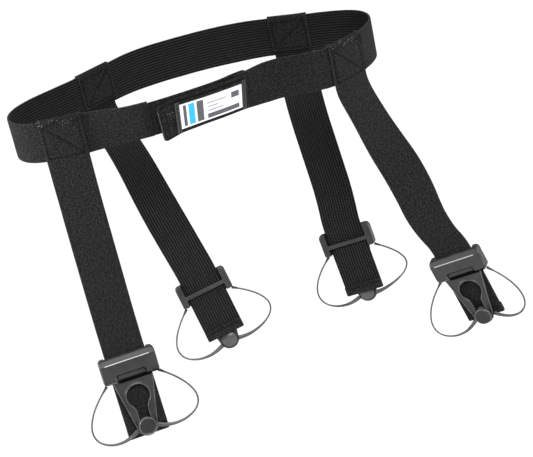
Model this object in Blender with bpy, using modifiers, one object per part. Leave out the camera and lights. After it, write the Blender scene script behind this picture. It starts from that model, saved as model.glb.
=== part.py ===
"""Hockey garter belt: a webbing waist band that closes at the front, with four hanging straps.

Each strap folds over the band, hangs, runs through a slider and ends in a hem. The slider has
a keyhole plate, and a button on two thin leads holds the sock in the keyhole.
Metres, +Z up, front at -Y. The origin is the middle of the waist opening, halfway up the band.
"""
import math

import bmesh
import bpy
import numpy as np
from mathutils import Matrix, Vector

WEBBING_WIDTH = 0.0254
WEBBING_THICK = 0.0014
GAP = 0.0003

WAIST_WIDE = 0.2330
WAIST_DEEP = 0.1060
WAIST_STEPS = 104
CLOSURE_STEP = 0.0026

TAB_HIGH = 0.0238
TAB_THICK = 0.0018
TAB_CORNER = 0.0028
CORNER_STEPS = 6
TAB_STEPS = 15
LOOP_TAB_DROP = 0.0012
HOOK_TAB_DROOP = 0.0022
DROOP_START = 0.78
TAB_SLANT = 0.045
LABEL_WIDE = 0.0457
LABEL_HIGH = 0.0196
LABEL_RAISE = 0.0017
LABEL_INSET = 0.0013
LABEL_SLANT = 0.060
SIDE_BINDING = 0.0024
EDGE_BINDING = 0.0015
LABEL_STEPS = 9
CARD_THICK = 0.0010
BINDING_THICK = 0.0012

STRAP_DROP = 0.1305
INNER_PATCH_SHORT = 0.0032
HEM_LENGTH = 0.0048
HEM_STEPS = 4
PATCH_ROWS = 4
FOLD_STEPS = 6
HANG_STEPS = 24
STRAP_COLUMNS = 4

SLIDER_WIDE = 0.0350
SLIDER_HIGH = 0.0156
SLIDER_FRONT = 0.0045
SLIDER_REAR = 0.0029
SLIDER_RIDGE_DROP = 0.0037
SLIDER_RIDGE_RISE = 0.0007
SLIDER_EDGE = 0.0009
SLIDER_TOP_CORNER = 0.0024
SLIDER_LOW_CORNER = 0.0012
SLOT_SPARE = 0.0012
SLOT_PLAY = 0.00045
BAR_HIGH = 0.0026
LIP_WIDE = 0.0185
LIP_HIGH = 0.0043
LIP_DEEP = 0.0007
HINGE_GAP_HIGH = 0.0011
HINGE_GAP_DEEP = 0.00165

PLATE_THICK = 0.0017
PLATE_SHOULDER = 0.0256
PLATE_RIM = 0.0011
PLATE_RECESS = 0.0004
KEYHOLE_DROP = 0.0194
KEYHOLE_WIDE = 0.0144
KEYWAY_WIDE = 0.0068
BUTTON_DROP = 0.0388
TIP_RADIUS = 0.0064

BUTTON_WIDE = 0.0112
BUTTON_HEAD = 0.0024
BUTTON_NECK = 0.0056
BUTTON_FOOT = 0.0100
BUTTON_FOOT_THICK = 0.0009

LEAD_WIDE = 0.0011
LEAD_POINTS = 19

# Middle line of the band, from its left end round the back to its right end.
# "across" and "deep" are shares of half the waist opening's width and depth.
WAIST_PLAN = (
    # across, deep
    (-0.320, -0.800),
    (-0.412, -0.775),
    (-0.506, -0.715),
    (-0.600, -0.655),
    (-0.730, -0.610),
    (-0.858, -0.545),
    (-0.935, -0.450),
    (-0.982, -0.290),
    (-0.990, -0.080),
    (-0.945, 0.130),
    (-0.850, 0.300),
    (-0.712, 0.440),
    (-0.566, 0.580),
    (-0.420, 0.755),
    (-0.266, 0.925),
    (-0.120, 0.990),
    (0.020, 1.000),
    (0.155, 0.990),
    (0.292, 0.950),
    (0.430, 0.875),
    (0.549, 0.760),
    (0.670, 0.610),
    (0.790, 0.490),
    (0.905, 0.330),
    (0.975, 0.170),
    (1.000, -0.020),
    (0.985, -0.210),
    (0.930, -0.390),
    (0.850, -0.545),
    (0.755, -0.665),
    (0.655, -0.740),
    (0.560, -0.720),
    (0.470, -0.650),
    (0.385, -0.605),
    (0.300, -0.615),
    (0.235, -0.645),
    (0.140, -0.683),
)

# Middle line of each closing tab from its right end, in the same shares.
LOOP_TAB_PLAN = (
    # across, deep
    (0.222, -0.610),
    (0.140, -0.643),
    (0.050, -0.706),
    (-0.140, -0.751),
    (-0.320, -0.761),
    (-0.420, -0.728),
)
HOOK_TAB_PLAN = (
    # across, deep
    (0.205, -0.699),
    (0.140, -0.723),
    (0.050, -0.760),
    (-0.140, -0.812),
    (-0.284, -0.850),
)

# How far each line's cloth leans, its top outwards, at shares of the line's length.
WAIST_LEAN = (
    # share, degrees
    (0.000, 15.0),
    (0.030, 15.0),
    (0.082, 0.0),
    (0.385, 0.0),
    (0.435, 9.0),
    (0.550, 9.0),
    (0.600, 0.0),
    (0.955, 0.0),
    (0.990, 13.0),
    (1.000, 13.0),
)
LOOP_TAB_LEAN = (
    # share, degrees
    (0.0, 13.0),
    (1.0, 15.0),
)
HOOK_TAB_LEAN = (
    # share, degrees
    (0.0, 13.0),
    (0.5, 12.0),
    (1.0, 5.0),
)

# One row for each strap. "along" is its place as a share of the band's length, "drop" the
# slider's place as a share of the usual drop, "side" how far the strap leans towards +X at five
# heights, "front" how far it leans forwards at the top and at the slider, and "turn" the heading
# of the slider's width, all in degrees. "tail" is the length below the slider's middle.
STRAP_TABLE = (
    # name, along, faces, drop, side_1, side_2, side_3, side_4, side_5, front_1, front_2, turn, tail
    ("front_left", 0.1085, 1, 0.999, -1.3, -0.6, -0.6, 0.1, 0.7, 15.0, 16.3, 0.0, 0.0440),
    ("rear_left", 0.3525, -1, 1.035, 20.9, 12.2, 14.3, 14.6, 10.6, 15.0, 19.0, -8.0, 0.0330),
    ("rear_right", 0.6325, -1, 0.980, -5.1, 2.7, 2.9, -3.4, 5.3, 18.1, 16.5, -28.4, 0.0360),
    ("front_right", 0.8465, 1, 1.080, 13.8, 21.0, 10.7, 29.2, 15.2, 9.1, 9.7, -34.5, 0.0410),
)
SIDE_KNOTS = (0.07, 0.40, 0.66, 0.86, 0.95)

# Route of a lead from the slider's lower corner to the button: sideways and downwards, as
# shares of the slider's width and of the button's drop.
LEAD_ROUTE = (
    # out, down
    (0.470, 0.220),
    (0.560, 0.287),
    (0.700, 0.400),
    (0.850, 0.560),
    (0.940, 0.730),
    (0.940, 0.870),
    (0.855, 0.990),
    (0.685, 1.075),
    (0.490, 1.105),
    (0.320, 1.090),
    (0.172, 1.048),
)

# How much wider and lower each lead bulges than that route, from its slider's -X side.
LEAD_TABLE = (
    # strap, word, side, wide, low
    ("front_left", "left", -1, 0.985, 1.07),
    ("front_left", "right", 1, 1.040, 1.03),
    ("rear_left", "left", -1, 1.020, 0.93),
    ("rear_left", "right", 1, 1.000, 1.00),
    ("rear_right", "left", -1, 0.980, 0.82),
    ("rear_right", "right", 1, 0.970, 1.01),
    ("front_right", "left", -1, 1.100, 1.20),
    ("front_right", "right", 1, 0.880, 1.13),
)

BAND_HALF = WEBBING_WIDTH / 2
TAB_HALF = TAB_HIGH / 2
LAYER = WEBBING_THICK + GAP
FOLD_RISE = WEBBING_THICK / 2 + 2 * GAP
SLOT_HALF_DEEP = WEBBING_THICK / 2 + SLOT_PLAY
FOOT_FRONT = WEBBING_THICK / 2 + GAP + BUTTON_FOOT_THICK + 0.00005
PLATE_REAR = FOOT_FRONT + GAP
PLATE_FRONT = PLATE_REAR + PLATE_THICK


def clear_scene():
    """Remove whatever the file holds, so that the script can be run again."""
    for obj in list(bpy.data.objects):
        bpy.data.objects.remove(obj, do_unlink=True)


def new_collection(name):
    """Make a collection and link it to the scene."""
    coll = bpy.data.collections.new(name)
    bpy.context.scene.collection.children.link(coll)
    return coll


def new_material(name, colour, roughness):
    """Make a Principled BSDF of one colour and roughness, without metal."""
    mat = bpy.data.materials.new(name)
    mat.use_nodes = True
    shader = mat.node_tree.nodes["Principled BSDF"]
    shader.inputs["Base Color"].default_value = (*colour, 1.0)
    shader.inputs["Roughness"].default_value = roughness
    shader.inputs["Metallic"].default_value = 0.0
    return mat


def smooth_line(points, steps):
    """Return evenly spaced points on a smooth curve through the given points."""
    pts = np.array(points, dtype=float)
    ends = np.vstack([2 * pts[0] - pts[1], pts, 2 * pts[-1] - pts[-2]])
    fine = []
    for i in range(1, len(ends) - 2):
        p0, p1, p2, p3 = ends[i - 1:i + 3]
        for t in np.linspace(0.0, 1.0, 24, endpoint=False):
            fine.append(0.5 * (2 * p1 + (p2 - p0) * t + (2 * p0 - 5 * p1 + 4 * p2 - p3) * t * t
                               + (3 * p1 - p0 - 3 * p2 + p3) * t ** 3))
    fine.append(pts[-1])
    fine = np.array(fine)
    run = np.concatenate([[0.0], np.cumsum(np.linalg.norm(np.diff(fine, axis=0), axis=1))])
    even = np.linspace(0.0, run[-1], steps)
    return np.stack([np.interp(even, run, fine[:, k]) for k in range(pts.shape[1])], axis=1)


def soften(points, rounds):
    """Average each inner point with its neighbours a few times."""
    pts = points.copy()
    for _ in range(rounds):
        pts[1:-1] = 0.25 * pts[:-2] + 0.5 * pts[1:-1] + 0.25 * pts[2:]
    return pts


def ease(value):
    """Smooth step from 0 to 1."""
    value = min(max(value, 0.0), 1.0)
    return value * value * (3.0 - 2.0 * value)


class PlanLine:
    """The middle line of cloth that stands on edge, with its height and its lean."""

    def __init__(self, table, steps, lifts, leans, rounds=2):
        scale = np.array([WAIST_WIDE / 2, WAIST_DEEP / 2])
        self.lifts = np.array(lifts)
        self.leans = np.array(leans)
        self.points = soften(smooth_line(np.array(table) * scale, steps), rounds)
        gaps = np.linalg.norm(np.diff(self.points, axis=0), axis=1)
        self.run = np.concatenate([[0.0], np.cumsum(gaps)])
        self.length = self.run[-1]
        slopes = np.gradient(self.points, self.run, axis=0)
        self.slopes = slopes / np.linalg.norm(slopes, axis=1)[:, None]

    def place(self, dist):
        """Point in plan at a distance, straight on beyond the ends."""
        inside = min(max(dist, 0.0), self.length)
        point = np.array([np.interp(inside, self.run, self.points[:, k]) for k in range(2)])
        return point + self.along(dist) * (dist - inside)

    def along(self, dist):
        """Unit direction of travel in plan."""
        slope = np.array([np.interp(dist, self.run, self.slopes[:, k]) for k in range(2)])
        return slope / np.linalg.norm(slope)

    def outward(self, dist):
        """Unit direction in plan that points away from the waist."""
        tx, ty = self.along(dist)
        return np.array([-ty, tx])

    def lift(self, dist):
        """Height of the line, between the heights in its table."""
        return np.interp(dist / self.length, self.lifts[:, 0], self.lifts[:, 1])

    def spot(self, dist, rise, off=0.0):
        """Point at a distance up the cloth from its middle, and off its middle outwards."""
        lean = math.radians(np.interp(dist / self.length, self.leans[:, 0], self.leans[:, 1]))
        out = off * math.cos(lean) + rise * math.sin(lean)
        x, y = self.place(dist) + self.outward(dist) * out
        return x, y, self.lift(dist) + rise * math.cos(lean) - off * math.sin(lean)


def make_sheet(name, rows, columns, place, thick, material, coll, skip=None):
    """Make a closed sheet: a grid bent by place(i, j), thickened evenly on both sides."""
    mesh = bpy.data.meshes.new(name)
    bm = bmesh.new()
    bmesh.ops.create_grid(bm, x_segments=columns, y_segments=rows, size=0.5)
    verts = sorted(bm.verts, key=lambda v: (round(v.co.y, 5), round(v.co.x, 5)))
    spots = {}
    for index, vert in enumerate(verts):
        spots[vert] = divmod(index, columns + 1)
    if skip is not None:
        drop = [f for f in bm.faces
                if skip(min(spots[v][0] for v in f.verts), min(spots[v][1] for v in f.verts))]
        bmesh.ops.delete(bm, geom=drop, context="FACES")
    for vert in bm.verts:
        vert.co = Vector(place(*spots[vert]))
    bm.to_mesh(mesh)
    bm.free()
    obj = bpy.data.objects.new(name, mesh)
    coll.objects.link(obj)
    wall = obj.modifiers.new("wall", "SOLIDIFY")
    wall.thickness = thick
    wall.offset = 0.0
    wall.use_even_offset = True
    mesh.materials.append(material)
    mesh.shade_smooth()
    mesh.set_sharp_from_angle(angle=math.radians(35))
    return obj


def make_waist_band(line, material, coll):
    """Make the band as one strip of webbing that stands on edge round the waist."""
    def place(i, j):
        return line.spot(i / WAIST_STEPS * line.length, (2 * j - 1) * BAND_HALF)

    return make_sheet("waist_band", WAIST_STEPS, 1, place, WEBBING_THICK, material, coll)


def make_tab(name, line, round_end, slant, material, coll):
    """Make a closing tab along a line, its free end slanted and with rounded corners."""
    quarter = math.pi / 2
    corner = [TAB_CORNER * (1 - math.cos(quarter * k / CORNER_STEPS))
              for k in range(CORNER_STEPS)]
    ends = corner + list(np.linspace(TAB_CORNER, line.length, TAB_STEPS))

    def place(i, j):
        from_end = ends[i]
        cut = max(TAB_CORNER - from_end, 0.0)
        high = TAB_HALF - TAB_CORNER + math.sqrt(TAB_CORNER ** 2 - cut ** 2)
        rise = (2 * j - 1) * high
        dist = from_end if round_end == 0 else line.length - from_end
        return line.spot(dist + slant * rise * (1 - from_end / line.length), rise)

    return make_sheet(name, len(ends) - 1, 1, place, TAB_THICK, material, coll)


def make_label(line, pocket_mat, card_mat, coll):
    """Make the bound label pocket and the card in it, on the front of the closing tab."""
    start = LABEL_INSET
    low = -TAB_HALF + LABEL_RAISE
    high = low + LABEL_HIGH
    card_edges = np.linspace(SIDE_BINDING, LABEL_WIDE - SIDE_BINDING, LABEL_STEPS)
    edges_u = [0.0, *card_edges, LABEL_WIDE]
    edges_v = [low, low + EDGE_BINDING, high - EDGE_BINDING, high]

    def on_tab(dist, rise, off):
        return line.spot(start + dist + LABEL_SLANT * (high - rise), rise, off)

    front = TAB_THICK / 2 + GAP

    def pocket_place(i, j):
        return on_tab(edges_u[i], edges_v[j], front + BINDING_THICK / 2)

    def pocket_hole(i, j):
        return 0 < i < len(edges_u) - 2 and j == 1

    make_sheet("label_pocket", len(edges_u) - 1, 3, pocket_place, BINDING_THICK, pocket_mat,
               coll, skip=pocket_hole)
    card_u = np.linspace(SIDE_BINDING + GAP, LABEL_WIDE - SIDE_BINDING - GAP, LABEL_STEPS)
    card_v = (low + EDGE_BINDING + GAP, high - EDGE_BINDING - GAP)

    def card_place(i, j):
        return on_tab(card_u[i], card_v[j], front + CARD_THICK / 2)

    make_sheet("label_card", len(card_u) - 1, 1, card_place, CARD_THICK, card_mat, coll)


class StrapPath:
    """The middle surface of one strap, from its patch inside the band to its hem."""

    def __init__(self, row, band):
        (self.name, along, self.faces, drop, *self.sides, self.front_1, self.front_2,
         self.turn, self.tail) = row
        self.drop = drop * STRAP_DROP
        self.band = band
        self.dist = along * band.length
        self.hang = self.hang_points()

    def lean(self, share):
        """Unit direction in which the strap runs at a share of its drop."""
        side = np.interp(share, (0.0, *SIDE_KNOTS), (0.0, *self.sides))
        front = np.interp(share, (0.0, 0.10, 0.90), (0.0, self.front_1, self.front_2))
        way = Vector((math.tan(math.radians(side)), -math.tan(math.radians(front)), -1.0))
        return way.normalized()

    def frame(self, share):
        """Width direction and rearward direction at a share of the drop."""
        way = self.lean(share)
        tx, ty = self.band.along(self.dist)
        start = math.atan2(-ty, -tx)
        goal = math.radians(self.turn) + (0.0 if self.faces > 0 else math.pi)
        step = (goal - start + math.pi) % (2 * math.pi) - math.pi
        heading = start + step * ease((share - 0.06) / 0.80)
        width = Vector((math.cos(heading), math.sin(heading), 0.0))
        width = (width - way * width.dot(way)).normalized()
        return width, way.cross(width).normalized() * -1.0

    def hang_points(self):
        """Points down the middle of the hanging part, with their share of the drop."""
        total = self.drop + self.tail
        fine = 240
        here = self.patch_point(LAYER, -BAND_HALF, 0.0)
        line = [(0.0, here.copy())]
        for i in range(fine):
            mid = (i + 0.5) / fine * total
            here = here + self.lean(mid / self.drop) * (total / fine)
            line.append(((i + 1) / fine * total, here.copy()))
        return line

    def at(self, dist):
        """Point at a distance down the hanging part."""
        total = self.hang[-1][0]
        place = dist / total * (len(self.hang) - 1)
        low = min(int(place), len(self.hang) - 2)
        return self.hang[low][1].lerp(self.hang[low + 1][1], place - low)

    def patch_point(self, off, rise, across):
        """Point of the sewn part, which follows the band's curve."""
        return Vector(self.band.spot(self.dist - across, rise, off))

    def stations(self):
        """Return one function of the distance across for each row, from patch to hem."""
        rows = []
        for up in np.linspace(INNER_PATCH_SHORT - BAND_HALF, BAND_HALF, PATCH_ROWS)[:-1]:
            rows.append(lambda a, up=up: self.patch_point(-LAYER, up, a))
        for k in range(FOLD_STEPS + 1):
            angle = math.pi * (1 - k / FOLD_STEPS)
            off = LAYER * math.cos(angle)
            up = BAND_HALF + FOLD_RISE * math.sin(angle)
            rows.append(lambda a, off=off, up=up: self.patch_point(off, up, a))
        for up in np.linspace(BAND_HALF, -BAND_HALF, PATCH_ROWS)[1:-1]:
            rows.append(lambda a, up=up: self.patch_point(LAYER, up, a))
        total = self.hang[-1][0]
        width_0 = self.frame(0.0)[0]
        for dist in np.linspace(0.0, total, HANG_STEPS):
            centre = self.at(dist)
            width = self.frame(dist / self.drop)[0]
            fade = 1.0 - ease(dist / (1.2 * WEBBING_WIDTH))

            def hanging(a, centre=centre, width=width, fade=fade):
                curve = self.patch_point(LAYER, -BAND_HALF, a)
                curve = curve - (self.at(0.0) + width_0 * a)
                return centre + width * a + curve * fade

            rows.append(hanging)
        width, rear = self.frame(total / self.drop)
        way = self.lean(total / self.drop)
        end = self.at(total)
        radius = LAYER / 2
        for k in range(1, HEM_STEPS + 1):
            angle = math.pi * k / HEM_STEPS
            spot = end + rear * radius * (1 - math.cos(angle)) + way * radius * math.sin(angle)
            rows.append(lambda a, spot=spot: spot + width * a)
        spot = end + rear * radius * 2 - way * HEM_LENGTH
        rows.append(lambda a, spot=spot: spot + width * a)
        return rows

    def slider_matrix(self):
        """Place of the slider: +X across, +Y towards the wearer, +Z up along the strap."""
        width, rear = self.frame(1.0)
        up = self.lean(1.0) * -1.0
        turn = Matrix((width, rear, up)).transposed().to_4x4()
        return Matrix.Translation(self.at(self.drop)) @ turn


def make_strap(path, material, coll):
    """Make one strap as a strip that is bent row by row."""
    rows = path.stations()

    def place(i, j):
        return rows[i]((j / STRAP_COLUMNS - 0.5) * WEBBING_WIDTH)

    return make_sheet("strap_" + path.name, len(rows) - 1, STRAP_COLUMNS, place,
                      WEBBING_THICK, material, coll)


def flat_solid(name, outlines, low, high, axis, coll):
    """Make a mesh from flat outlines (the inner ones are holes), extruded along an axis.

    Axis "X" reads an outline as (y, z), and axis "Y" as (x, z). low and high are the ends.
    """
    curve = bpy.data.curves.new(name, "CURVE")
    curve.dimensions = "2D"
    curve.fill_mode = "BOTH"
    curve.extrude = (high - low) / 2
    for outline in outlines:
        spline = curve.splines.new("POLY")
        spline.points.add(len(outline) - 1)
        for point, (u, v) in zip(spline.points, outline):
            point.co = (u, v, 0.0, 1.0)
        spline.use_cyclic_u = True
    obj = bpy.data.objects.new(name, curve)
    coll.objects.link(obj)
    middle = (low + high) / 2
    if axis == "X":
        obj.matrix_world = Matrix(((0, 0, 1, middle), (1, 0, 0, 0), (0, 1, 0, 0), (0, 0, 0, 1)))
    else:
        obj.matrix_world = Matrix(((1, 0, 0, 0), (0, 0, -1, middle), (0, 1, 0, 0), (0, 0, 0, 1)))
    return curve_to_mesh(obj, coll)


def curve_to_mesh(obj, coll):
    """Turn a curve object into a mesh object with welded caps."""
    bpy.context.view_layer.update()
    graph = bpy.context.evaluated_depsgraph_get()
    mesh = bpy.data.meshes.new_from_object(obj.evaluated_get(graph))
    bm = bmesh.new()
    bm.from_mesh(mesh)
    bmesh.ops.remove_doubles(bm, verts=bm.verts, dist=0.000002)
    bm.to_mesh(mesh)
    bm.free()
    name = obj.name
    solid = bpy.data.objects.new(name, mesh)
    solid.matrix_world = obj.matrix_world
    coll.objects.link(solid)
    bpy.data.objects.remove(obj, do_unlink=True)
    solid.name = name
    return solid


def box(name, low, high, coll):
    """Make a box between two corners."""
    bm = bmesh.new()
    bmesh.ops.create_cube(bm, size=1.0)
    for vert in bm.verts:
        vert.co = [l + (c + 0.5) * (h - l) for c, l, h in zip(vert.co, low, high)]
    mesh = bpy.data.meshes.new(name)
    bm.to_mesh(mesh)
    bm.free()
    obj = bpy.data.objects.new(name, mesh)
    coll.objects.link(obj)
    return obj


def combine(target, tool, operation):
    """Add an exact Boolean with a tool object, which becomes a hidden guide."""
    mod = target.modifiers.new(operation.lower(), "BOOLEAN")
    mod.operation = operation
    mod.solver = "EXACT"
    mod.object = tool
    tool.hide_render = True
    tool.display_type = "WIRE"


def arc(cx, cz, radius, start, end, steps):
    """Points on an arc, in degrees."""
    angles = np.radians(np.linspace(start, end, steps))
    return [(cx + radius * math.cos(a), cz + radius * math.sin(a)) for a in angles]


def plate_outline(inset):
    """Front outline of the keyhole plate: straight shoulders that taper to a round tip."""
    half = PLATE_SHOULDER / 2 - inset
    radius = TIP_RADIUS - inset
    shoulder = -SLIDER_HIGH / 2 + 0.001
    drop = shoulder + BUTTON_DROP
    reach = math.hypot(half, drop)
    lean = math.atan2(drop, half) - math.acos(radius / reach)
    lean = math.degrees(lean)
    tip = arc(0.0, -BUTTON_DROP, radius, lean, -180.0 - lean, 15)
    top = -SLIDER_HIGH * 0.28
    return [(half, top), (half, shoulder)] + tip + [(-half, shoulder), (-half, top)]


def keyhole_outline(grow):
    """Round hole that runs down into a narrow way for the button's neck."""
    radius = KEYHOLE_WIDE / 2 + grow
    half = KEYWAY_WIDE / 2 + grow
    flare = 0.42 * KEYHOLE_WIDE
    right = arc(0.0, -KEYHOLE_DROP, radius, 90.0, -38.0, 9)
    join = arc(half + flare, -KEYHOLE_DROP - radius - 0.36 * flare, flare, 148.0, 180.0, 3)
    foot = arc(0.0, -BUTTON_DROP, half, 0.0, -90.0, 5)
    line = right + join + foot
    return line + [(-x, z) for x, z in reversed(line[1:-1])]


def frame_outline():
    """Front outline of the slider's frame, rounder at its upper corners."""
    right = SLIDER_WIDE / 2
    top = SLIDER_HIGH / 2
    upper = SLIDER_TOP_CORNER
    lower = SLIDER_LOW_CORNER
    return (arc(right - upper, top - upper, upper, 0.0, 90.0, 5)
            + arc(upper - right, top - upper, upper, 90.0, 180.0, 5)
            + arc(lower - right, lower - top, lower, 180.0, 270.0, 4)
            + arc(right - lower, lower - top, lower, 270.0, 360.0, 4))


def make_slider_mesh(material, coll):
    """Model the slider once: a frame with a slot and a bar behind, and its keyhole plate."""
    half = SLIDER_HIGH / 2
    ridge = half - SLIDER_RIDGE_DROP
    profile = [
        (-SLIDER_FRONT, -half),
        (-SLIDER_FRONT - SLIDER_RIDGE_RISE, ridge),
        (-SLIDER_FRONT * 0.62, half),
        (SLIDER_REAR, half),
        (SLIDER_REAR, -half),
    ]
    wide = SLIDER_WIDE / 2
    far = 0.010
    body = flat_solid("slider_body", [profile], -wide, wide, "X", coll)
    combine(body, flat_solid("frame_corners", [frame_outline()], -far, far, "Y", coll),
            "INTERSECT")
    edges = body.modifiers.new("edges", "BEVEL")
    edges.width = SLIDER_EDGE
    edges.segments = 2
    edges.limit_method = "ANGLE"
    edges.angle_limit = math.radians(40)

    slot_half = (WEBBING_WIDTH + SLOT_SPARE) / 2
    combine(body, box("slot", (-slot_half, -SLOT_HALF_DEEP, -far),
                      (slot_half, SLOT_HALF_DEEP, far), coll), "DIFFERENCE")
    bar_top = -0.04 * SLIDER_HIGH
    combine(body, box("rear_top", (-slot_half, 0.0, bar_top), (slot_half, far, far), coll),
            "DIFFERENCE")
    combine(body, box("rear_low", (-slot_half, 0.0, -far), (slot_half, far, bar_top - BAR_HIGH),
                      coll), "DIFFERENCE")
    combine(body, box("lip", (-LIP_WIDE / 2, -far, -far),
                      (LIP_WIDE / 2, -SLIDER_FRONT + LIP_DEEP, -half + LIP_HIGH), coll),
            "DIFFERENCE")

    plate = flat_solid("keyhole_plate", [plate_outline(0.0), keyhole_outline(0.0)],
                       -PLATE_FRONT, -PLATE_REAR, "Y", coll)
    recess = flat_solid("recess", [plate_outline(PLATE_RIM), keyhole_outline(PLATE_RIM)],
                        -PLATE_FRONT - far, -PLATE_FRONT + PLATE_RECESS, "Y", coll)
    combine(plate, recess, "DIFFERENCE")
    combine(body, plate, "UNION")
    combine(body, box("hinge_gap", (-LIP_WIDE / 2, -far, -half - GAP),
                      (LIP_WIDE / 2, -SLIDER_FRONT + HINGE_GAP_DEEP, -half + HINGE_GAP_HIGH),
                      coll), "DIFFERENCE")

    bpy.context.view_layer.update()
    graph = bpy.context.evaluated_depsgraph_get()
    mesh = bpy.data.meshes.new_from_object(body.evaluated_get(graph))
    mesh.transform(body.matrix_world)
    bm = bmesh.new()
    bm.from_mesh(mesh)
    bmesh.ops.remove_doubles(bm, verts=bm.verts, dist=0.00002)
    bmesh.ops.dissolve_degenerate(bm, edges=bm.edges, dist=0.00001)
    bm.to_mesh(mesh)
    bm.free()
    mesh.materials.clear()
    mesh.materials.append(material)
    mesh.shade_smooth()
    mesh.set_sharp_from_angle(angle=math.radians(35))
    for obj in list(coll.objects):
        bpy.data.objects.remove(obj, do_unlink=True)
    return mesh


def make_button(name, matrix, material, coll):
    """Make the button: a domed head, a neck in the keyway and a flat foot, turned."""
    head = BUTTON_WIDE / 2
    neck = BUTTON_NECK / 2
    foot = BUTTON_FOOT / 2
    front = PLATE_FRONT + GAP
    rear = WEBBING_THICK / 2 + GAP
    crown = front + BUTTON_HEAD
    profile = [
        (0.0, crown),
        (head * 0.62, crown - BUTTON_HEAD * 0.08),
        (head * 0.92, crown - BUTTON_HEAD * 0.34),
        (head, front + BUTTON_HEAD * 0.34),
        (head * 0.95, front),
        (neck, front),
        (neck, FOOT_FRONT),
        (foot, FOOT_FRONT),
        (foot, rear),
        (0.0, rear),
    ]
    mesh = bpy.data.meshes.new(name)
    mesh.from_pydata([(r, 0.0, z) for r, z in profile],
                     [(i, i + 1) for i in range(len(profile) - 1)], [])
    obj = bpy.data.objects.new(name, mesh)
    coll.objects.link(obj)
    turn = obj.modifiers.new("turn", "SCREW")
    turn.axis = "Z"
    turn.steps = 20
    turn.render_steps = 20
    turn.use_merge_vertices = True
    turn.merge_threshold = 0.00002
    mesh.materials.append(material)
    mesh.shade_smooth()
    mesh.set_sharp_from_angle(angle=math.radians(40))
    place = Matrix.Translation((0.0, 0.0, -BUTTON_DROP)) @ Matrix.Rotation(math.pi / 2, 4, "X")
    obj.matrix_world = matrix @ place
    return obj


def make_lead(name, matrix, side, wide, low, material, coll):
    """Make one lead as a tube through its route, with its own bulge between the ends."""
    route = []
    for i, (out, down) in enumerate(LEAD_ROUTE):
        bulge = math.sin(math.pi * i / (len(LEAD_ROUTE) - 1))
        route.append((side * out * SLIDER_WIDE * (1 + (wide - 1) * bulge),
                      -down * BUTTON_DROP * (1 + (low - 1) * bulge)))
    depth_top = -SLOT_HALF_DEEP - 0.0002
    depth_low = -(WEBBING_THICK / 2 + GAP + LEAD_WIDE / 2 + 0.0001)
    points = []
    line = smooth_line(route, LEAD_POINTS)
    for i, (x, z) in enumerate(line):
        share = ease(i / (len(line) - 1))
        points.append((x, depth_top + (depth_low - depth_top) * share, z))
    curve = bpy.data.curves.new(name, "CURVE")
    curve.dimensions = "3D"
    curve.bevel_depth = LEAD_WIDE / 2
    curve.bevel_resolution = 2
    curve.use_fill_caps = True
    spline = curve.splines.new("POLY")
    spline.points.add(len(points) - 1)
    for point, spot in zip(spline.points, points):
        point.co = (*spot, 1.0)
    curve.materials.append(material)
    obj = bpy.data.objects.new(name, curve)
    coll.objects.link(obj)
    obj.matrix_world = matrix
    return obj


def main():
    """Build every piece of the belt."""
    clear_scene()
    parts = new_collection("hockey_garter_belt")
    cutters = new_collection("cutters")
    webbing = new_material("webbing", (0.026, 0.026, 0.028), 0.92)
    tab_cloth = new_material("tab_cloth", (0.030, 0.030, 0.033), 0.90)
    binding = new_material("label_binding", (0.055, 0.056, 0.060), 0.85)
    card = new_material("label_card", (0.780, 0.790, 0.800), 0.45)
    plastic = new_material("clip_plastic", (0.070, 0.071, 0.073), 0.45)
    lead_plastic = new_material("lead_plastic", (0.110, 0.110, 0.108), 0.40)

    step = CLOSURE_STEP / 2
    band_lifts = ((0.0, step), (1.0, -step))
    band_line = PlanLine(WAIST_PLAN, WAIST_STEPS * 2 + 1, band_lifts, WAIST_LEAN)
    make_waist_band(band_line, webbing, parts)

    loop_lift = step - LOOP_TAB_DROP
    loop_lifts = ((0.0, loop_lift), (1.0, loop_lift))
    hook_lifts = ((0.0, -step), (DROOP_START, -step), (1.0, -step - HOOK_TAB_DROOP))
    loop_line = PlanLine(LOOP_TAB_PLAN, 45, loop_lifts, LOOP_TAB_LEAN)
    hook_line = PlanLine(HOOK_TAB_PLAN, 45, hook_lifts, HOOK_TAB_LEAN)
    make_tab("loop_tab", loop_line, 0, 0.0, tab_cloth, parts)
    make_tab("hook_tab", hook_line, 1, TAB_SLANT, tab_cloth, parts)
    make_label(hook_line, binding, card, parts)

    slider_mesh = make_slider_mesh(plastic, cutters)
    for row in STRAP_TABLE:
        path = StrapPath(row, band_line)
        make_strap(path, webbing, parts)
        matrix = path.slider_matrix()
        slider = bpy.data.objects.new("slider_" + path.name, slider_mesh)
        slider.matrix_world = matrix
        parts.objects.link(slider)
        make_button("button_" + path.name, matrix, plastic, parts)
        for strap, word, side, wide, low in LEAD_TABLE:
            if strap == path.name:
                make_lead("lead_%s_%s" % (strap, word), matrix, side, wide, low, lead_plastic,
                          parts)


main()
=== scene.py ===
"""Looks of the hockey garter belt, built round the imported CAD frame.

The belt hangs as it is worn. Webbing, tabs, label, clips and buttons stand in for their CAD
solids in the same place, with finer meshes, and the stitches on them are modelled as thread.
Metres, +Z up, front at -Y.
"""
import math

import bmesh
import bpy
import numpy as np
from mathutils import Matrix, Vector


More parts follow.
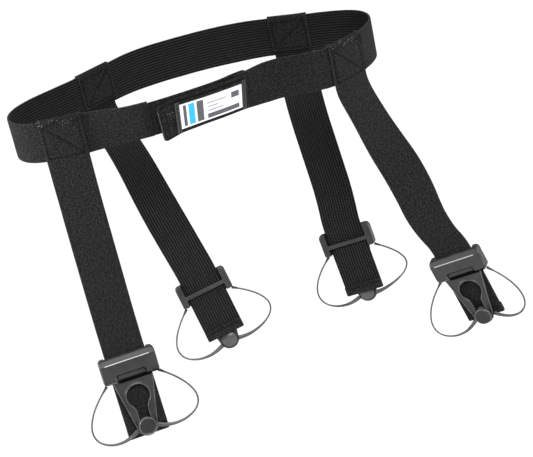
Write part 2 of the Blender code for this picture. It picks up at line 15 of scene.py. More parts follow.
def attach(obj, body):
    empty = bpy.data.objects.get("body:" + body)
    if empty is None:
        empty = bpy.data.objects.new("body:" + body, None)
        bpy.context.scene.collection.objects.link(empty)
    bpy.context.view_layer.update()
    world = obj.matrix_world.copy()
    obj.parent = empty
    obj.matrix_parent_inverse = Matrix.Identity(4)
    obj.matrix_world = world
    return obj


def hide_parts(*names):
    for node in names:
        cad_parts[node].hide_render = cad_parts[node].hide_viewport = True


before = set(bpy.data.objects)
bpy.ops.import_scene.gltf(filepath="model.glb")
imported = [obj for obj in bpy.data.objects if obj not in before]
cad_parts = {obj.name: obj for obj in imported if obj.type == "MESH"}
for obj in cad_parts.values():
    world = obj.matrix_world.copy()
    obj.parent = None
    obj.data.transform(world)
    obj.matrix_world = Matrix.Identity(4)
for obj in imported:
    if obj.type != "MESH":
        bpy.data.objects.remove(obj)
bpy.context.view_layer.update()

# Sizes that the CAD source has too.
WEBBING_WIDTH = 0.0254
WEBBING_THICK = 0.0014
GAP = 0.0003
WAIST_WIDE = 0.2330
WAIST_DEEP = 0.1060
WAIST_STEPS = 104
CLOSURE_STEP = 0.0026
TAB_HIGH = 0.0238
TAB_THICK = 0.0018
TAB_CORNER = 0.0028
LOOP_TAB_DROP = 0.0012
HOOK_TAB_DROOP = 0.0022
DROOP_START = 0.78
TAB_SLANT = 0.045
LABEL_WIDE = 0.0457
LABEL_HIGH = 0.0196
LABEL_RAISE = 0.0017
LABEL_INSET = 0.0013
LABEL_SLANT = 0.060
SIDE_BINDING = 0.0024
EDGE_BINDING = 0.0015
CARD_THICK = 0.0010
BINDING_THICK = 0.0012
STRAP_DROP = 0.1305
INNER_PATCH_SHORT = 0.0032
HEM_LENGTH = 0.0048
SLIDER_WIDE = 0.0350
SLIDER_HIGH = 0.0156
SLIDER_FRONT = 0.0045
SLIDER_RIDGE_DROP = 0.0037
SLIDER_RIDGE_RISE = 0.0007
SLOT_PLAY = 0.00045
LIP_WIDE = 0.0185
LIP_HIGH = 0.0043
PLATE_THICK = 0.0017
PLATE_SHOULDER = 0.0256
KEYHOLE_DROP = 0.0194
KEYHOLE_WIDE = 0.0144
KEYWAY_WIDE = 0.0068
BUTTON_DROP = 0.0388
TIP_RADIUS = 0.0064
BUTTON_WIDE = 0.0112
BUTTON_HEAD = 0.0024
BUTTON_NECK = 0.0056
BUTTON_FOOT = 0.0100
BUTTON_FOOT_THICK = 0.0009
LEAD_WIDE = 0.0011
LEAD_POINTS = 19
SOFTEN_ROUNDS = 2

WAIST_PLAN = (
    (-0.320, -0.800), (-0.412, -0.775), (-0.506, -0.715), (-0.600, -0.655), (-0.730, -0.610),
    (-0.858, -0.545), (-0.935, -0.450), (-0.982, -0.290), (-0.990, -0.080), (-0.945, 0.130),
    (-0.850, 0.300), (-0.712, 0.440), (-0.566, 0.580), (-0.420, 0.755), (-0.266, 0.925),
    (-0.120, 0.990), (0.020, 1.000), (0.155, 0.990), (0.292, 0.950), (0.430, 0.875),
    (0.549, 0.760), (0.670, 0.610), (0.790, 0.490), (0.905, 0.330), (0.975, 0.170),
    (1.000, -0.020), (0.985, -0.210), (0.930, -0.390), (0.850, -0.545), (0.755, -0.665),
    (0.655, -0.740), (0.560, -0.720), (0.470, -0.650), (0.385, -0.605), (0.300, -0.615),
    (0.235, -0.645), (0.140, -0.683),
)
LOOP_TAB_PLAN = (
    (0.222, -0.610), (0.140, -0.643), (0.050, -0.706), (-0.140, -0.751), (-0.320, -0.761),
    (-0.420, -0.728),
)
HOOK_TAB_PLAN = (
    (0.205, -0.699), (0.140, -0.723), (0.050, -0.760), (-0.140, -0.812), (-0.284, -0.850),
)
# How far each line's cloth leans, its top outwards: (share of the length, degrees).
WAIST_LEAN = (
    (0.0, 15.0), (0.030, 15.0), (0.082, 0.0), (0.385, 0.0), (0.435, 9.0), (0.550, 9.0),
    (0.600, 0.0), (0.955, 0.0), (0.990, 13.0), (1.0, 13.0),
)
LOOP_TAB_LEAN = ((0.0, 13.0), (1.0, 15.0))
HOOK_TAB_LEAN = ((0.0, 13.0), (0.5, 12.0), (1.0, 5.0))
STRAP_TABLE = (
    # name, along, faces, drop, side_1, side_2, side_3, side_4, side_5, front_1, front_2, turn, tail
    ("front_left", 0.1085, 1, 0.999, -1.3, -0.6, -0.6, 0.1, 0.7, 15.0, 16.3, 0.0, 0.0440),
    ("rear_left", 0.3525, -1, 1.035, 20.9, 12.2, 14.3, 14.6, 10.6, 15.0, 19.0, -8.0, 0.0330),
    ("rear_right", 0.6325, -1, 0.980, -5.1, 2.7, 2.9, -3.4, 5.3, 18.1, 16.5, -28.4, 0.0360),
    ("front_right", 0.8465, 1, 1.080, 13.8, 21.0, 10.7, 29.2, 15.2, 9.1, 9.7, -34.5, 0.0410),
)
SIDE_KNOTS = (0.07, 0.40, 0.66, 0.86, 0.95)
LEAD_ROUTE = (
    (0.470, 0.220), (0.560, 0.287), (0.700, 0.400), (0.850, 0.560), (0.940, 0.730),
    (0.940, 0.870), (0.855, 0.990), (0.685, 1.075), (0.490, 1.105), (0.320, 1.090),
    (0.172, 1.048),
)
LEAD_TABLE = (
    # strap, word, side, wide, low
    ("front_left", "left", -1, 0.985, 1.07),
    ("front_left", "right", 1, 1.040, 1.03),
    ("rear_left", "left", -1, 1.020, 0.93),
    ("rear_left", "right", 1, 1.000, 1.00),
    ("rear_right", "left", -1, 0.980, 0.82),
    ("rear_right", "right", 1, 0.970, 1.01),
    ("front_right", "left", -1, 1.100, 1.20),
    ("front_right", "right", 1, 0.880, 1.13),
)

BAND_HALF = WEBBING_WIDTH / 2
TAB_HALF = TAB_HIGH / 2
LABEL_LOW = LABEL_RAISE - TAB_HALF
LABEL_TOP = LABEL_LOW + LABEL_HIGH
LABEL_BACK = TAB_THICK / 2 + GAP
SIDE_STRIPS = (0.0, LABEL_WIDE - SIDE_BINDING)
LAYER = WEBBING_THICK + GAP
SLOT_HALF_DEEP = WEBBING_THICK / 2 + SLOT_PLAY
FOOT_FRONT = WEBBING_THICK / 2 + GAP + BUTTON_FOOT_THICK + 0.00005
PLATE_REAR = FOOT_FRONT + GAP
PLATE_FRONT = PLATE_REAR + PLATE_THICK

# Sizes that only the looks have.
SELVAGE = 0.0009
RIB_COUNT = 14
RIB_PITCH = (WEBBING_WIDTH - 2 * SELVAGE) / RIB_COUNT
RIB_DEEP = 0.00026
RIB_STEPS = (0.0, 0.14, 0.38, 0.62, 0.86)
EDGE_STEPS = (0.0, 0.00005, 0.0002, 0.00045)
BAND_STEP = 0.0018
PATCH_STEP = 0.0008
STRAP_STEP = 0.0015
HANG_POINTS = 240
PICK_PITCH = 0.0011
# A pick's way round the selvage, in millimetres: inwards, and off the cloth's middle.
PICK_TURN = ((0.62, 0.52), (0.26, 0.44), (0.05, 0.0), (0.26, -0.44), (0.62, -0.52))
PICK_TAPER = (0.6, 1.0, 1.0, 1.0, 0.6)
PICK_RADIUS = 0.00021
TAB_RINGS = 14
STITCH_PITCH = 0.0020
STITCH_LENGTH = 0.0015
# A stitch's arch: share of its length, and rise off the cloth.
STITCH_ARCH = ((0.0, -0.00022), (0.16, 0.00004), (0.5, 0.00010), (0.84, 0.00004),
               (1.0, -0.00022))
STITCH_TAPER = (0.55, 1.0, 1.0, 1.0, 0.55)
THREAD_RADIUS = 0.00036
THIN_THREAD = 0.00022
TOP_THREAD = 0.00042
TAIL_THREAD = 0.00021
BAND_THREAD = 0.00030
PALE_THREAD = 0.00013
LABEL_THREAD = 0.00015
FUZZ_THREAD = 0.000075
FUZZ_COUNT = 20
KNOT_TAILS = 7
ZIGZAG_COUNT = 15
SEAM_INSET = 0.0020
SEAM_TOP = 0.0027
SEAM_PUCKER = 0.00046
SEAM_SPREAD = 0.0008
# Low and high ends of the hem's zigzag, measured up from the strap's end.
HEM_SEAM = (0.0026, 0.0041)
# Radius of the dark tube down a patch's edge, painted shadow in black thread: distances down, and
# radii there.
EDGE_SHADOW = ((0.0, 0.0045, 0.009, 0.025), (0.00095, 0.00075, 0.00045, 0.00036))
# The sewn layers lie flat on the band, and the fold over its top is pressed thin.
PRESSED = 0.00152
PRESSED_RISE = 0.00062
FOLD_THIN = 0.62
# How far below the band's top each strap is sewn: the front ones nearly to the lower edge.
SEAM_LOW = {"front_left": 0.0236, "front_right": 0.0236, "rear_left": 0.0207,
            "rear_right": 0.0207}

# The card's print: cuts across, cuts up, and (ink, (left, right, low, high)) as shares.
LABEL_PRINT = (
    (0.0, 0.05, 0.10, 0.135, 0.23, 0.265, 0.37, 0.43, 0.60, 0.68, 0.74, 0.82, 0.95, 1.0),
    (0.0, 0.07, 0.26, 0.36, 0.42, 0.52, 0.58, 0.68, 0.74, 0.82, 0.93, 1.0),
    (
        (2, (0.05, 0.10, 0.07, 0.93)),
        (1, (0.135, 0.23, 0.07, 0.93)),
        (2, (0.265, 0.37, 0.07, 0.93)),
        (2, (0.43, 0.95, 0.07, 0.26)),
        (3, (0.43, 0.68, 0.36, 0.42)),
        (3, (0.43, 0.60, 0.52, 0.58)),
        (3, (0.43, 0.74, 0.68, 0.74)),
        (2, (0.82, 0.95, 0.58, 0.82)),
    ),
)

# Ends of the painted highlight along the ridge and of the painted shadow in the gap under the
# slider, as shares of its width.
RIDGE_HIGHLIGHT_LEFT = 0.43
RIDGE_HIGHLIGHT_RIGHT = 0.41
GAP_SHADOW_LEFT = 0.26
GAP_SHADOW_RIGHT = 0.36
GAP_SHADOW_RADIUS = 0.00085
# Flare at each lead's root, and the rings and sides of the knob's dish, which is painted dark as
# shade.
LEAD_ROOT = 0.0010
LEAD_ROOT_POINTS = 5
DISH_RINGS = 4
KNOB_SIDES = 64

WEBBING_GLOSS = {"Specular_IOR_Level": 0.07, "Sheen_Weight": 0.02, "Sheen_Roughness": 0.5}
# Key, name, dark and light tone, roughness, grain's tint, gloss.
PLASTICS = (
    ("lead", "lead_wire", (0.050, 0.050, 0.048), (0.075, 0.075, 0.072), 0.36,
     (0.11, 0.11, 0.107), 0.5),
    ("clip", "clip_moulding", (0.0140, 0.0143, 0.0143), (0.0210, 0.0215, 0.0215), 0.45,
     (0.030, 0.0305, 0.0305), 0.5),
    # This row is a lighter copy of the clip plastic: painted highlight for the clip's edges and for
    # the knob.
    ("clip_highlight", "clip_highlight", (0.050, 0.051, 0.051), (0.085, 0.086, 0.085), 0.27,
     (0.13, 0.13, 0.128), 0.5),
    # This row is a pale plastic for the bead along the clip's ridge: painted highlight.
    ("ridge", "clip_ridge", (0.36, 0.355, 0.34), (0.46, 0.455, 0.43), 0.30,
     (0.52, 0.51, 0.48), 0.5),
    # This row is near black: painted shadow for the gap under the slider, its lower right rim and
    # the groove round its lip.
    ("shadow", "clip_painted_shadow", (0.0006, 0.0006, 0.0006), (0.0012, 0.0012, 0.0012), 0.9,
     (0.002, 0.002, 0.002), 0.05),
    # This row is darker than the clip plastic: painted shade in the knob's dish.
    ("knob", "knob_dish_shade", (0.0050, 0.0051, 0.0053), (0.0090, 0.0092, 0.0095), 0.50,
     (0.014, 0.0143, 0.0147), 0.5),
)
# Key, name, dark and light tone.
THREADS = (
    ("selvage", "selvage_thread", (0.006, 0.006, 0.0065), (0.085, 0.086, 0.087)),
    ("thread", "black_thread", (0.0008, 0.0008, 0.0009), (0.0032, 0.0032, 0.0035)),
    ("pale_thread", "pale_thread", (0.10, 0.10, 0.10), (0.30, 0.30, 0.29)),
    # This row is a pale thread for the rims along the outer tab's end and the label's side
    # bindings: painted highlight.
    ("edge_highlight", "painted_edge_highlight", (0.028, 0.029, 0.030), (0.075, 0.077, 0.079)),
)
# Name, colour and shade.
INKS = (
    ("print_white", (0.86, 0.87, 0.88), (0.78, 0.79, 0.81)),
    ("print_blue", (0.012, 0.46, 0.80), (0.010, 0.40, 0.72)),
    ("print_charcoal", (0.085, 0.088, 0.098), (0.065, 0.068, 0.076)),
    ("print_grey", (0.30, 0.31, 0.33), (0.42, 0.43, 0.45)),
)

MM = 0.001
RNG = np.random.default_rng(7)
CAMERA_PLACE = (-0.16318, -0.93142, 0.34202)
CAMERA_TURN = (64.0043, 11.2266, -16.8378)
CAMERA_LENS = 109.82
FLOOR_HEIGHT = -0.42
WORLD_STRENGTH = 0.32
SUN_STRENGTH = 3.35
LEFT_POWER = 2.2
RIGHT_POWER = 0.7


def add_object(name, data):
    """Make an object of the data and put it in the scene."""
    obj = bpy.data.objects.new(name, data)
    bpy.context.scene.collection.objects.link(obj)
    return obj


def make_camera():
    """Set up the camera at the photo's angle."""
    data = bpy.data.cameras.new("camera")
    data.sensor_width = 36.0
    data.lens = CAMERA_LENS
    data.clip_start = 0.01
    camera = add_object("camera", data)
    camera.location = CAMERA_PLACE
    camera.rotation_euler = [math.radians(angle) for angle in CAMERA_TURN]
    bpy.context.scene.camera = camera


def smooth_line(points, steps):
    """Return evenly spaced points on a smooth curve through the given points."""
    pts = np.array(points, dtype=float)
    ends = np.vstack([2 * pts[0] - pts[1], pts, 2 * pts[-1] - pts[-2]])
    fine = []
    for i in range(1, len(ends) - 2):
        p0, p1, p2, p3 = ends[i - 1:i + 3]
        for t in np.linspace(0.0, 1.0, 24, endpoint=False):
            fine.append(0.5 * (2 * p1 + (p2 - p0) * t + (2 * p0 - 5 * p1 + 4 * p2 - p3) * t * t
                               + (3 * p1 - p0 - 3 * p2 + p3) * t ** 3))
    fine.append(pts[-1])
    fine = np.array(fine)
    run = np.concatenate([[0.0], np.cumsum(np.linalg.norm(np.diff(fine, axis=0), axis=1))])
    even = np.linspace(0.0, run[-1], steps)
    return np.stack([np.interp(even, run, fine[:, k]) for k in range(pts.shape[1])], axis=1)


def soften(points, rounds):
    """Average each inner point with its neighbours a few times."""
    pts = points.copy()
    for _ in range(rounds):
        pts[1:-1] = 0.25 * pts[:-2] + 0.5 * pts[1:-1] + 0.25 * pts[2:]
    return pts


def ease(value):
    """Smooth step from 0 to 1."""
    value = min(max(value, 0.0), 1.0)
    return value * value * (3.0 - 2.0 * value)


def unit(vectors):
    """Scale vectors to length 1."""
    vectors = np.asarray(vectors, dtype=float)
    return vectors / np.linalg.norm(vectors, axis=-1, keepdims=True)


class PlanLine:
    """The middle line of cloth that stands on edge, with its height and its lean."""

    def __init__(self, table, steps, lifts, leans):
        self.lifts = np.array(lifts)
        self.leans = np.array(leans)
        scale = np.array([WAIST_WIDE / 2, WAIST_DEEP / 2])
        coarse = soften(smooth_line(np.array(table) * scale, steps), SOFTEN_ROUNDS)
        gaps = np.linalg.norm(np.diff(coarse, axis=0), axis=1)
        self.length = gaps.sum()
        self.points = smooth_line(coarse, 4 * steps)
        self.run = np.linspace(0.0, self.length, len(self.points))
        self.slopes = unit(np.gradient(self.points, self.run, axis=0))
        self.coarse_run = np.concatenate([[0.0], np.cumsum(gaps)])
        self.coarse_slopes = unit(np.gradient(coarse, self.coarse_run, axis=0))

    def along(self, dist):
        """Unit direction of travel in plan."""
        return unit(np.stack([np.interp(dist, self.run, self.slopes[:, k]) for k in (0, 1)],
                             axis=-1))

    def coarse_along(self, dist):
        """Direction of travel as the CAD source has it."""
        return unit([np.interp(dist, self.coarse_run, self.coarse_slopes[:, k])
                     for k in (0, 1)])

    def outward(self, dist):
        """Unit direction, in space, that points away from the waist."""
        slope = self.along(dist)
        return np.stack([-slope[..., 1], slope[..., 0], np.zeros(slope.shape[:-1])], axis=-1)

    def axes(self, dist):
        """Unit directions up the leaning cloth and out of its outer face."""
        share = np.asarray(dist) / self.length
        lean = np.radians(np.interp(share, self.leans[:, 0], self.leans[:, 1]))[..., None]
        outward = self.outward(dist)
        up = np.array([0.0, 0.0, 1.0])
        return (outward * np.sin(lean) + up * np.cos(lean),
                outward * np.cos(lean) - up * np.sin(lean))

    def wall(self, dist, rise, off):
        """Points at distances along, up from the cloth's middle, and off its outer side."""
        dist, rise, off = np.broadcast_arrays(np.asarray(dist, dtype=float), rise, off)
        inside = np.clip(dist, 0.0, self.length)
        plan = np.stack([np.interp(inside, self.run, self.points[:, k]) for k in (0, 1)],
                        axis=-1)
        plan = plan + self.along(dist) * (dist - inside)[..., None]
        lift = np.interp(dist / self.length, self.lifts[:, 0], self.lifts[:, 1])
        up, face = self.axes(dist)
        points = np.concatenate([plan, lift[..., None]], axis=-1)
        return points + up * rise[..., None] + face * off[..., None]


class StrapPath:
    """The middle surface of one strap, from its patch inside the band to its hem."""

    def __init__(self, row, band):
        (self.name, along, self.faces, drop, *self.sides, self.front_1, self.front_2,
         self.turn, self.tail) = row
        self.drop = drop * STRAP_DROP
        self.band = band
        self.dist = along * band.length
        self.total = self.drop + self.tail
        self.hang = self.hang_points()

    def lean(self, share):
        """Unit direction in which the strap runs at a share of its drop."""
        side = np.interp(share, (0.0, *SIDE_KNOTS), (0.0, *self.sides))
        front = np.interp(share, (0.0, 0.10, 0.90), (0.0, self.front_1, self.front_2))
        return unit([math.tan(math.radians(side)), -math.tan(math.radians(front)), -1.0])

    def frame(self, share):
        """Width direction and rearward direction at a share of the drop."""
        way = self.lean(share)
        tx, ty = self.band.coarse_along(self.dist)
        start = math.atan2(-ty, -tx)
        goal = math.radians(self.turn) + (0.0 if self.faces > 0 else math.pi)
        step = (goal - start + math.pi) % (2 * math.pi) - math.pi
        heading = start + step * ease((share - 0.06) / 0.80)
        width = np.array([math.cos(heading), math.sin(heading), 0.0])
        width = unit(width - way * (width @ way))
        return width, -unit(np.cross(way, width))

    def hang_points(self):
        """Points down the middle of the hanging part."""
        here = self.band.wall(self.dist, -BAND_HALF, LAYER)
        line = [here]
        for i in range(HANG_POINTS):
            mid = (i + 0.5) / HANG_POINTS * self.total
            here = here + self.lean(mid / self.drop) * (self.total / HANG_POINTS)
            line.append(here)
        return np.array(line)

    def at(self, dist):
        """Point at a distance down the hanging part."""
        runs = np.linspace(0.0, self.total, len(self.hang))
        return np.array([np.interp(dist, runs, self.hang[:, k]) for k in range(3)])

    def patch(self, across, down, off):
        """Points of the sewn part: down from the band's top, off from the band's middle."""
        return self.band.wall(self.dist - np.asarray(across), BAND_HALF - down, off)

    def slider_matrix(self):
        """Place of the slider: +X across, +Y towards the wearer, +Z up along the strap."""
        width, rear = self.frame(1.0)
        turn = Matrix([Vector(width), Vector(rear), Vector(-self.lean(1.0))])
        return Matrix.Translation(Vector(self.at(self.drop))) @ turn.transposed().to_4x4()


def lead_points(side, wide, low):
    """A lead's centreline in the slider's frame, as the CAD source has it."""
    bulge = np.sin(np.linspace(0.0, math.pi, len(LEAD_ROUTE)))
    line = smooth_line([(side * out * SLIDER_WIDE * (1 + (wide - 1) * b),
                         -down * BUTTON_DROP * (1 + (low - 1) * b))
                        for (out, down), b in zip(LEAD_ROUTE, bulge)], LEAD_POINTS)
    depth_top = -SLOT_HALF_DEEP - 0.0002
    depth_low = -(WEBBING_THICK / 2 + GAP + LEAD_WIDE / 2 + 0.0001)
    return [(x, depth_top + (depth_low - depth_top) * ease(i / (LEAD_POINTS - 1)), z)
            for i, (x, z) in enumerate(line)]


def make_lead(path, word, side, wide, low, material):
    """Make one springy lead as a round curve."""
    matrix = path.slider_matrix()
    points = [matrix @ Vector(p) for p in lead_points(side, wide, low)]
    name = "lead_%s_%s" % (path.name, word)
    curve = bpy.data.curves.new(name + "_line", "CURVE")
    curve.dimensions = "3D"
    curve.bevel_depth = LEAD_WIDE / 2
    curve.bevel_resolution = 4
    curve.use_fill_caps = True
    spline = curve.splines.new("POLY")
    fine = smooth_line([tuple(p) for p in points], 3 * LEAD_POINTS)
    spline.points.add(len(fine) - 1)
    for point, spot in zip(spline.points, fine):
        point.co = (*spot, 1.0)
    spline.use_smooth = True
    curve.materials.append(material)
    lead = add_object(name + "_wire", curve)
    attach(lead, "root")
    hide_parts(name)
    length = float(np.linalg.norm(np.diff(fine, axis=0), axis=1).sum())
    return lead, fine, length


class Shader:
    """A material under construction, with short calls for its nodes."""

    def __init__(self, name, roughness, **sockets):
        self.mat = bpy.data.materials.new(name)
        self.mat.use_nodes = True
        self.tree = self.mat.node_tree
        self.bsdf = self.tree.nodes["Principled BSDF"]
        self.bsdf.inputs["Roughness"].default_value = roughness
        for key, value in sockets.items():
            self.bsdf.inputs[key.replace("_", " ")].default_value = value

    def node(self, kind, inputs, **props):
        """Add a node, set its properties, and feed or link its inputs."""
        node = self.tree.nodes.new("ShaderNode" + kind)
        for key, value in props.items():
            setattr(node, key, value)
        for key, value in inputs.items():
            if isinstance(value, bpy.types.NodeSocket):
                self.tree.links.new(value, node.inputs[key])
            else:
                node.inputs[key].default_value = value
        return node

    def math(self, operation, a, b=0.0, c=0.0):
        """Add a Math node and return its result."""
        return self.node("Math", {0: a, 1: b, 2: c}, operation=operation).outputs[0]

    def times(self, a, b):
        """Add a multiplication."""
        return self.math("MULTIPLY", a, b)

    def fma(self, a, b, c):
        """Add a times b plus c."""
        return self.math("MULTIPLY_ADD", a, b, c)

    def uv(self):
        """Distances along and across in millimetres, from the UV map in metres."""
        split = self.node("SeparateXYZ", {0: self.node("UVMap", {}, uv_map="UVMap").outputs[0]})
        return [self.times(split.outputs[k], 1 / MM) for k in (0, 1)]

    def place(self):
        """Coordinates in the object's own frame."""
        return self.node("TexCoord", {}).outputs["Object"]

    def join(self, x, y, z=0.0):
        """Combine three numbers into a vector."""
        return self.node("CombineXYZ", {0: x, 1: y, 2: z}).outputs[0]

    def noise(self, vector, scale, detail=2.0, roughness=0.5):
        """Add a noise texture and return its value."""
        return self.node("TexNoise", {"Vector": vector, "Scale": scale, "Detail": detail,
                                      "Roughness": roughness}).outputs[0]

    def spread(self, value, low, high, to_low=0.0, to_high=1.0):
        """Stretch a range of values to another one, smoothly and without overshoot."""
        return self.node("MapRange", {"Value": value, "From Min": low, "From Max": high,
                                      "To Min": to_low, "To Max": to_high},
                         interpolation_type="SMOOTHSTEP").outputs[0]

    def mix(self, share, a, b):
        """Mix two colours."""
        node = self.node("Mix", {0: share}, data_type="RGBA")
        for index, value in ((6, a), (7, b)):
            if isinstance(value, bpy.types.NodeSocket):
                self.tree.links.new(value, node.inputs[index])
            else:
                node.inputs[index].default_value = (*value, 1.0)
        return node.outputs[2]

    def wave(self, value, pitch, phase=0.0):
        """Sine of a distance with a pitch, from -1 to 1."""
        return self.math("SINE", self.fma(value, 2 * math.pi / pitch, phase))

    def finish(self, colour, height, distance, strength=1.0, roughness=None):
        """Link the colour, the bump and the roughness, and return the material."""
        bump = self.node("Bump", {"Height": height, "Distance": distance,
                                  "Strength": strength})
        self.tree.links.new(bump.outputs[0], self.bsdf.inputs["Normal"])
        self.tree.links.new(colour, self.bsdf.inputs["Base Color"])
        if roughness is not None:
            self.tree.links.new(roughness, self.bsdf.inputs["Roughness"])
        return self.mat


def smooth_webbing():
    """The outer face: close picks that give a heathered grain with pale specks."""
    s = Shader("webbing_face", 0.92, **WEBBING_GLOSS)
    along, across = s.uv()
    stagger = s.times(s.math("FLOOR", s.math("DIVIDE", across, 0.55)), 2.4)
    picks = s.wave(along, 1.10, stagger)
    fuzz = s.noise(s.join(s.times(along, 1.4), s.times(across, 1.9)), 1.0, 3.0, 0.65)
    speck = s.noise(s.join(along, s.times(across, 1.2)), 0.75, 2.0, 0.6)
    cloud = s.noise(s.join(along, across), 0.12, 2.0)
    weave = s.fma(picks, 0.07, s.fma(speck, 0.62, s.times(fuzz, 0.38)))
    colour = s.mix(s.spread(weave, 0.42, 0.61), (0.0058, 0.0058, 0.0062),
                   (0.0330, 0.0335, 0.0343))
    colour = s.mix(s.spread(cloud, 0.35, 0.70, 0.0, 0.18), colour, (0.0105, 0.0107, 0.0112))
    height = s.fma(picks, 0.30, s.times(weave, 4.0))
    return s.finish(colour, height, 0.00030, 1.0)


def ribbed_webbing():
    """The inner face: lengthwise ribs with grooves darkened by painted shade, and fine picks across
    each rib.
    """
    s = Shader("webbing_ribs", 0.90, **WEBBING_GLOSS)
    along, across = s.uv()
    place = s.math("DIVIDE", s.math("SUBTRACT", across, SELVAGE / MM), RIB_PITCH / MM)
    beside = s.math("ABSOLUTE", s.fma(s.math("FRACT", place), 2.0, -1.0))
    # Painted shade: the grooves between the ribs are mixed towards near black.
    groove_shade = s.spread(beside, 0.35, 0.90)
    stagger = s.times(s.math("FLOOR", place), 2.2)
    picks = s.wave(along, 1.0, stagger)
    fuzz = s.noise(s.join(s.times(along, 1.8), s.times(across, 1.8)), 1.0, 3.0, 0.6)
    streak = s.noise(s.join(s.times(along, 0.10), across), 0.8, 2.0)
    height = s.fma(picks, 0.34, s.times(fuzz, 1.4))
    rib = s.mix(s.spread(s.fma(picks, 0.10, fuzz), 0.33, 0.70), (0.0040, 0.0041, 0.0045),
                (0.0400, 0.0406, 0.0416))
    rib = s.mix(s.spread(streak, 0.35, 0.7, 0.0, 0.30), rib, (0.0085, 0.0087, 0.0092))
    colour = s.mix(groove_shade, rib, (0.0012, 0.0012, 0.0015))
    return s.finish(colour, height, 0.00022, 0.8)


def tab_material():
    """Brushed closing cloth: short matted loops without a direction."""
    s = Shader("tab_felt", 0.93, Specular_IOR_Level=0.08, Sheen_Weight=0.03,
               Sheen_Roughness=0.55)
    place = s.place()
    loops = s.noise(place, 1500.0, 3.0, 0.7)
    patch = s.noise(place, 330.0, 2.0)
    colour = s.mix(s.spread(loops, 0.40, 0.62), (0.0030, 0.0032, 0.0034),
                   (0.0310, 0.0318, 0.0322))
    colour = s.mix(s.spread(patch, 0.42, 0.62, 0.0, 0.6), colour, (0.0070, 0.0073, 0.0075))
    return s.finish(colour, loops, 0.00040, 0.9)


def binding_material():
    """Woven tape round the label: fine ribs across the tape."""
    s = Shader("binding_tape", 0.80, Specular_IOR_Level=0.3, Sheen_Weight=0.25,
               Sheen_Roughness=0.4)
    ribs = s.wave(s.uv()[0], 0.62)
    fuzz = s.noise(s.place(), 2300.0, 2.0)
    colour = s.mix(s.spread(s.fma(ribs, 0.12, fuzz), 0.34, 0.72), (0.014, 0.0145, 0.0155),
                   (0.075, 0.077, 0.081))
    return s.finish(colour, s.fma(ribs, 0.5, fuzz), 0.00016, 0.8)


def print_material(name, colour, shade):
    """A printed colour under the label's clear film, with a faint print grain."""
    s = Shader(name, 0.34, Specular_IOR_Level=0.45, Coat_Weight=0.35, Coat_Roughness=0.16)
    place = s.place()
    grain = s.noise(place, 3200.0, 2.0)
    mottle = s.noise(place, 420.0, 2.0)
    share = s.spread(s.fma(grain, 0.5, s.times(mottle, 0.5)), 0.35, 0.68)
    rough = s.spread(mottle, 0.3, 0.7, 0.26, 0.42)
    return s.finish(s.mix(share, shade, colour), mottle, 0.00008, 0.35, rough)


def plastic_material(name, dark, light, roughness, tint, gloss):
    """Satin moulded plastic: a fine grain, faint flow marks and a slightly uneven gloss."""
    s = Shader(name, roughness, Specular_IOR_Level=gloss)
    place = s.place()
    grain = s.noise(place, 2600.0, 3.0, 0.6)
    flow = s.noise(place, 150.0, 3.0, 0.55)
    colour = s.mix(s.spread(flow, 0.32, 0.70), dark, light)
    colour = s.mix(s.spread(grain, 0.55, 0.80, 0.0, 0.30), colour, tint)
    rough = s.spread(s.fma(grain, 0.35, s.times(flow, 0.65)), 0.3, 0.7, roughness - 0.07,
                     roughness + 0.08)
    return s.finish(colour, s.fma(grain, 0.6, flow), 0.00005, 0.5, rough)


def thread_material(name, dark, light):
    """Twisted sewing thread."""
    s = Shader(name, 0.70, Specular_IOR_Level=0.15, Sheen_Weight=0.03, Sheen_Roughness=0.4)
    twist = s.noise(s.place(), 3800.0, 2.0)
    return s.finish(s.mix(s.spread(twist, 0.35, 0.68), dark, light), twist, 0.00010, 0.7)


def floor_material():
    """Pale seamless floor with a barely uneven tone."""
    s = Shader("studio_floor", 0.95, Specular_IOR_Level=0.1)
    place = s.place()
    tone = s.noise(place, 3.0, 2.0)
    grain = s.noise(place, 900.0, 2.0)
    return s.finish(s.mix(tone, (0.90, 0.90, 0.90), (0.93, 0.93, 0.93)), grain, 0.0002, 0.2)


def make_materials():
    """Make every material of the belt and the floor."""
    mats = {key: plastic_material(*row) for key, *row in PLASTICS}
    mats.update({key: thread_material(*row) for key, *row in THREADS})
    mats["face"] = smooth_webbing()
    mats["ribs"] = ribbed_webbing()
    mats["tab"] = tab_material()
    mats["binding"] = binding_material()
    mats["print"] = [print_material(*row) for row in INKS]
    mats["floor"] = floor_material()
    return mats


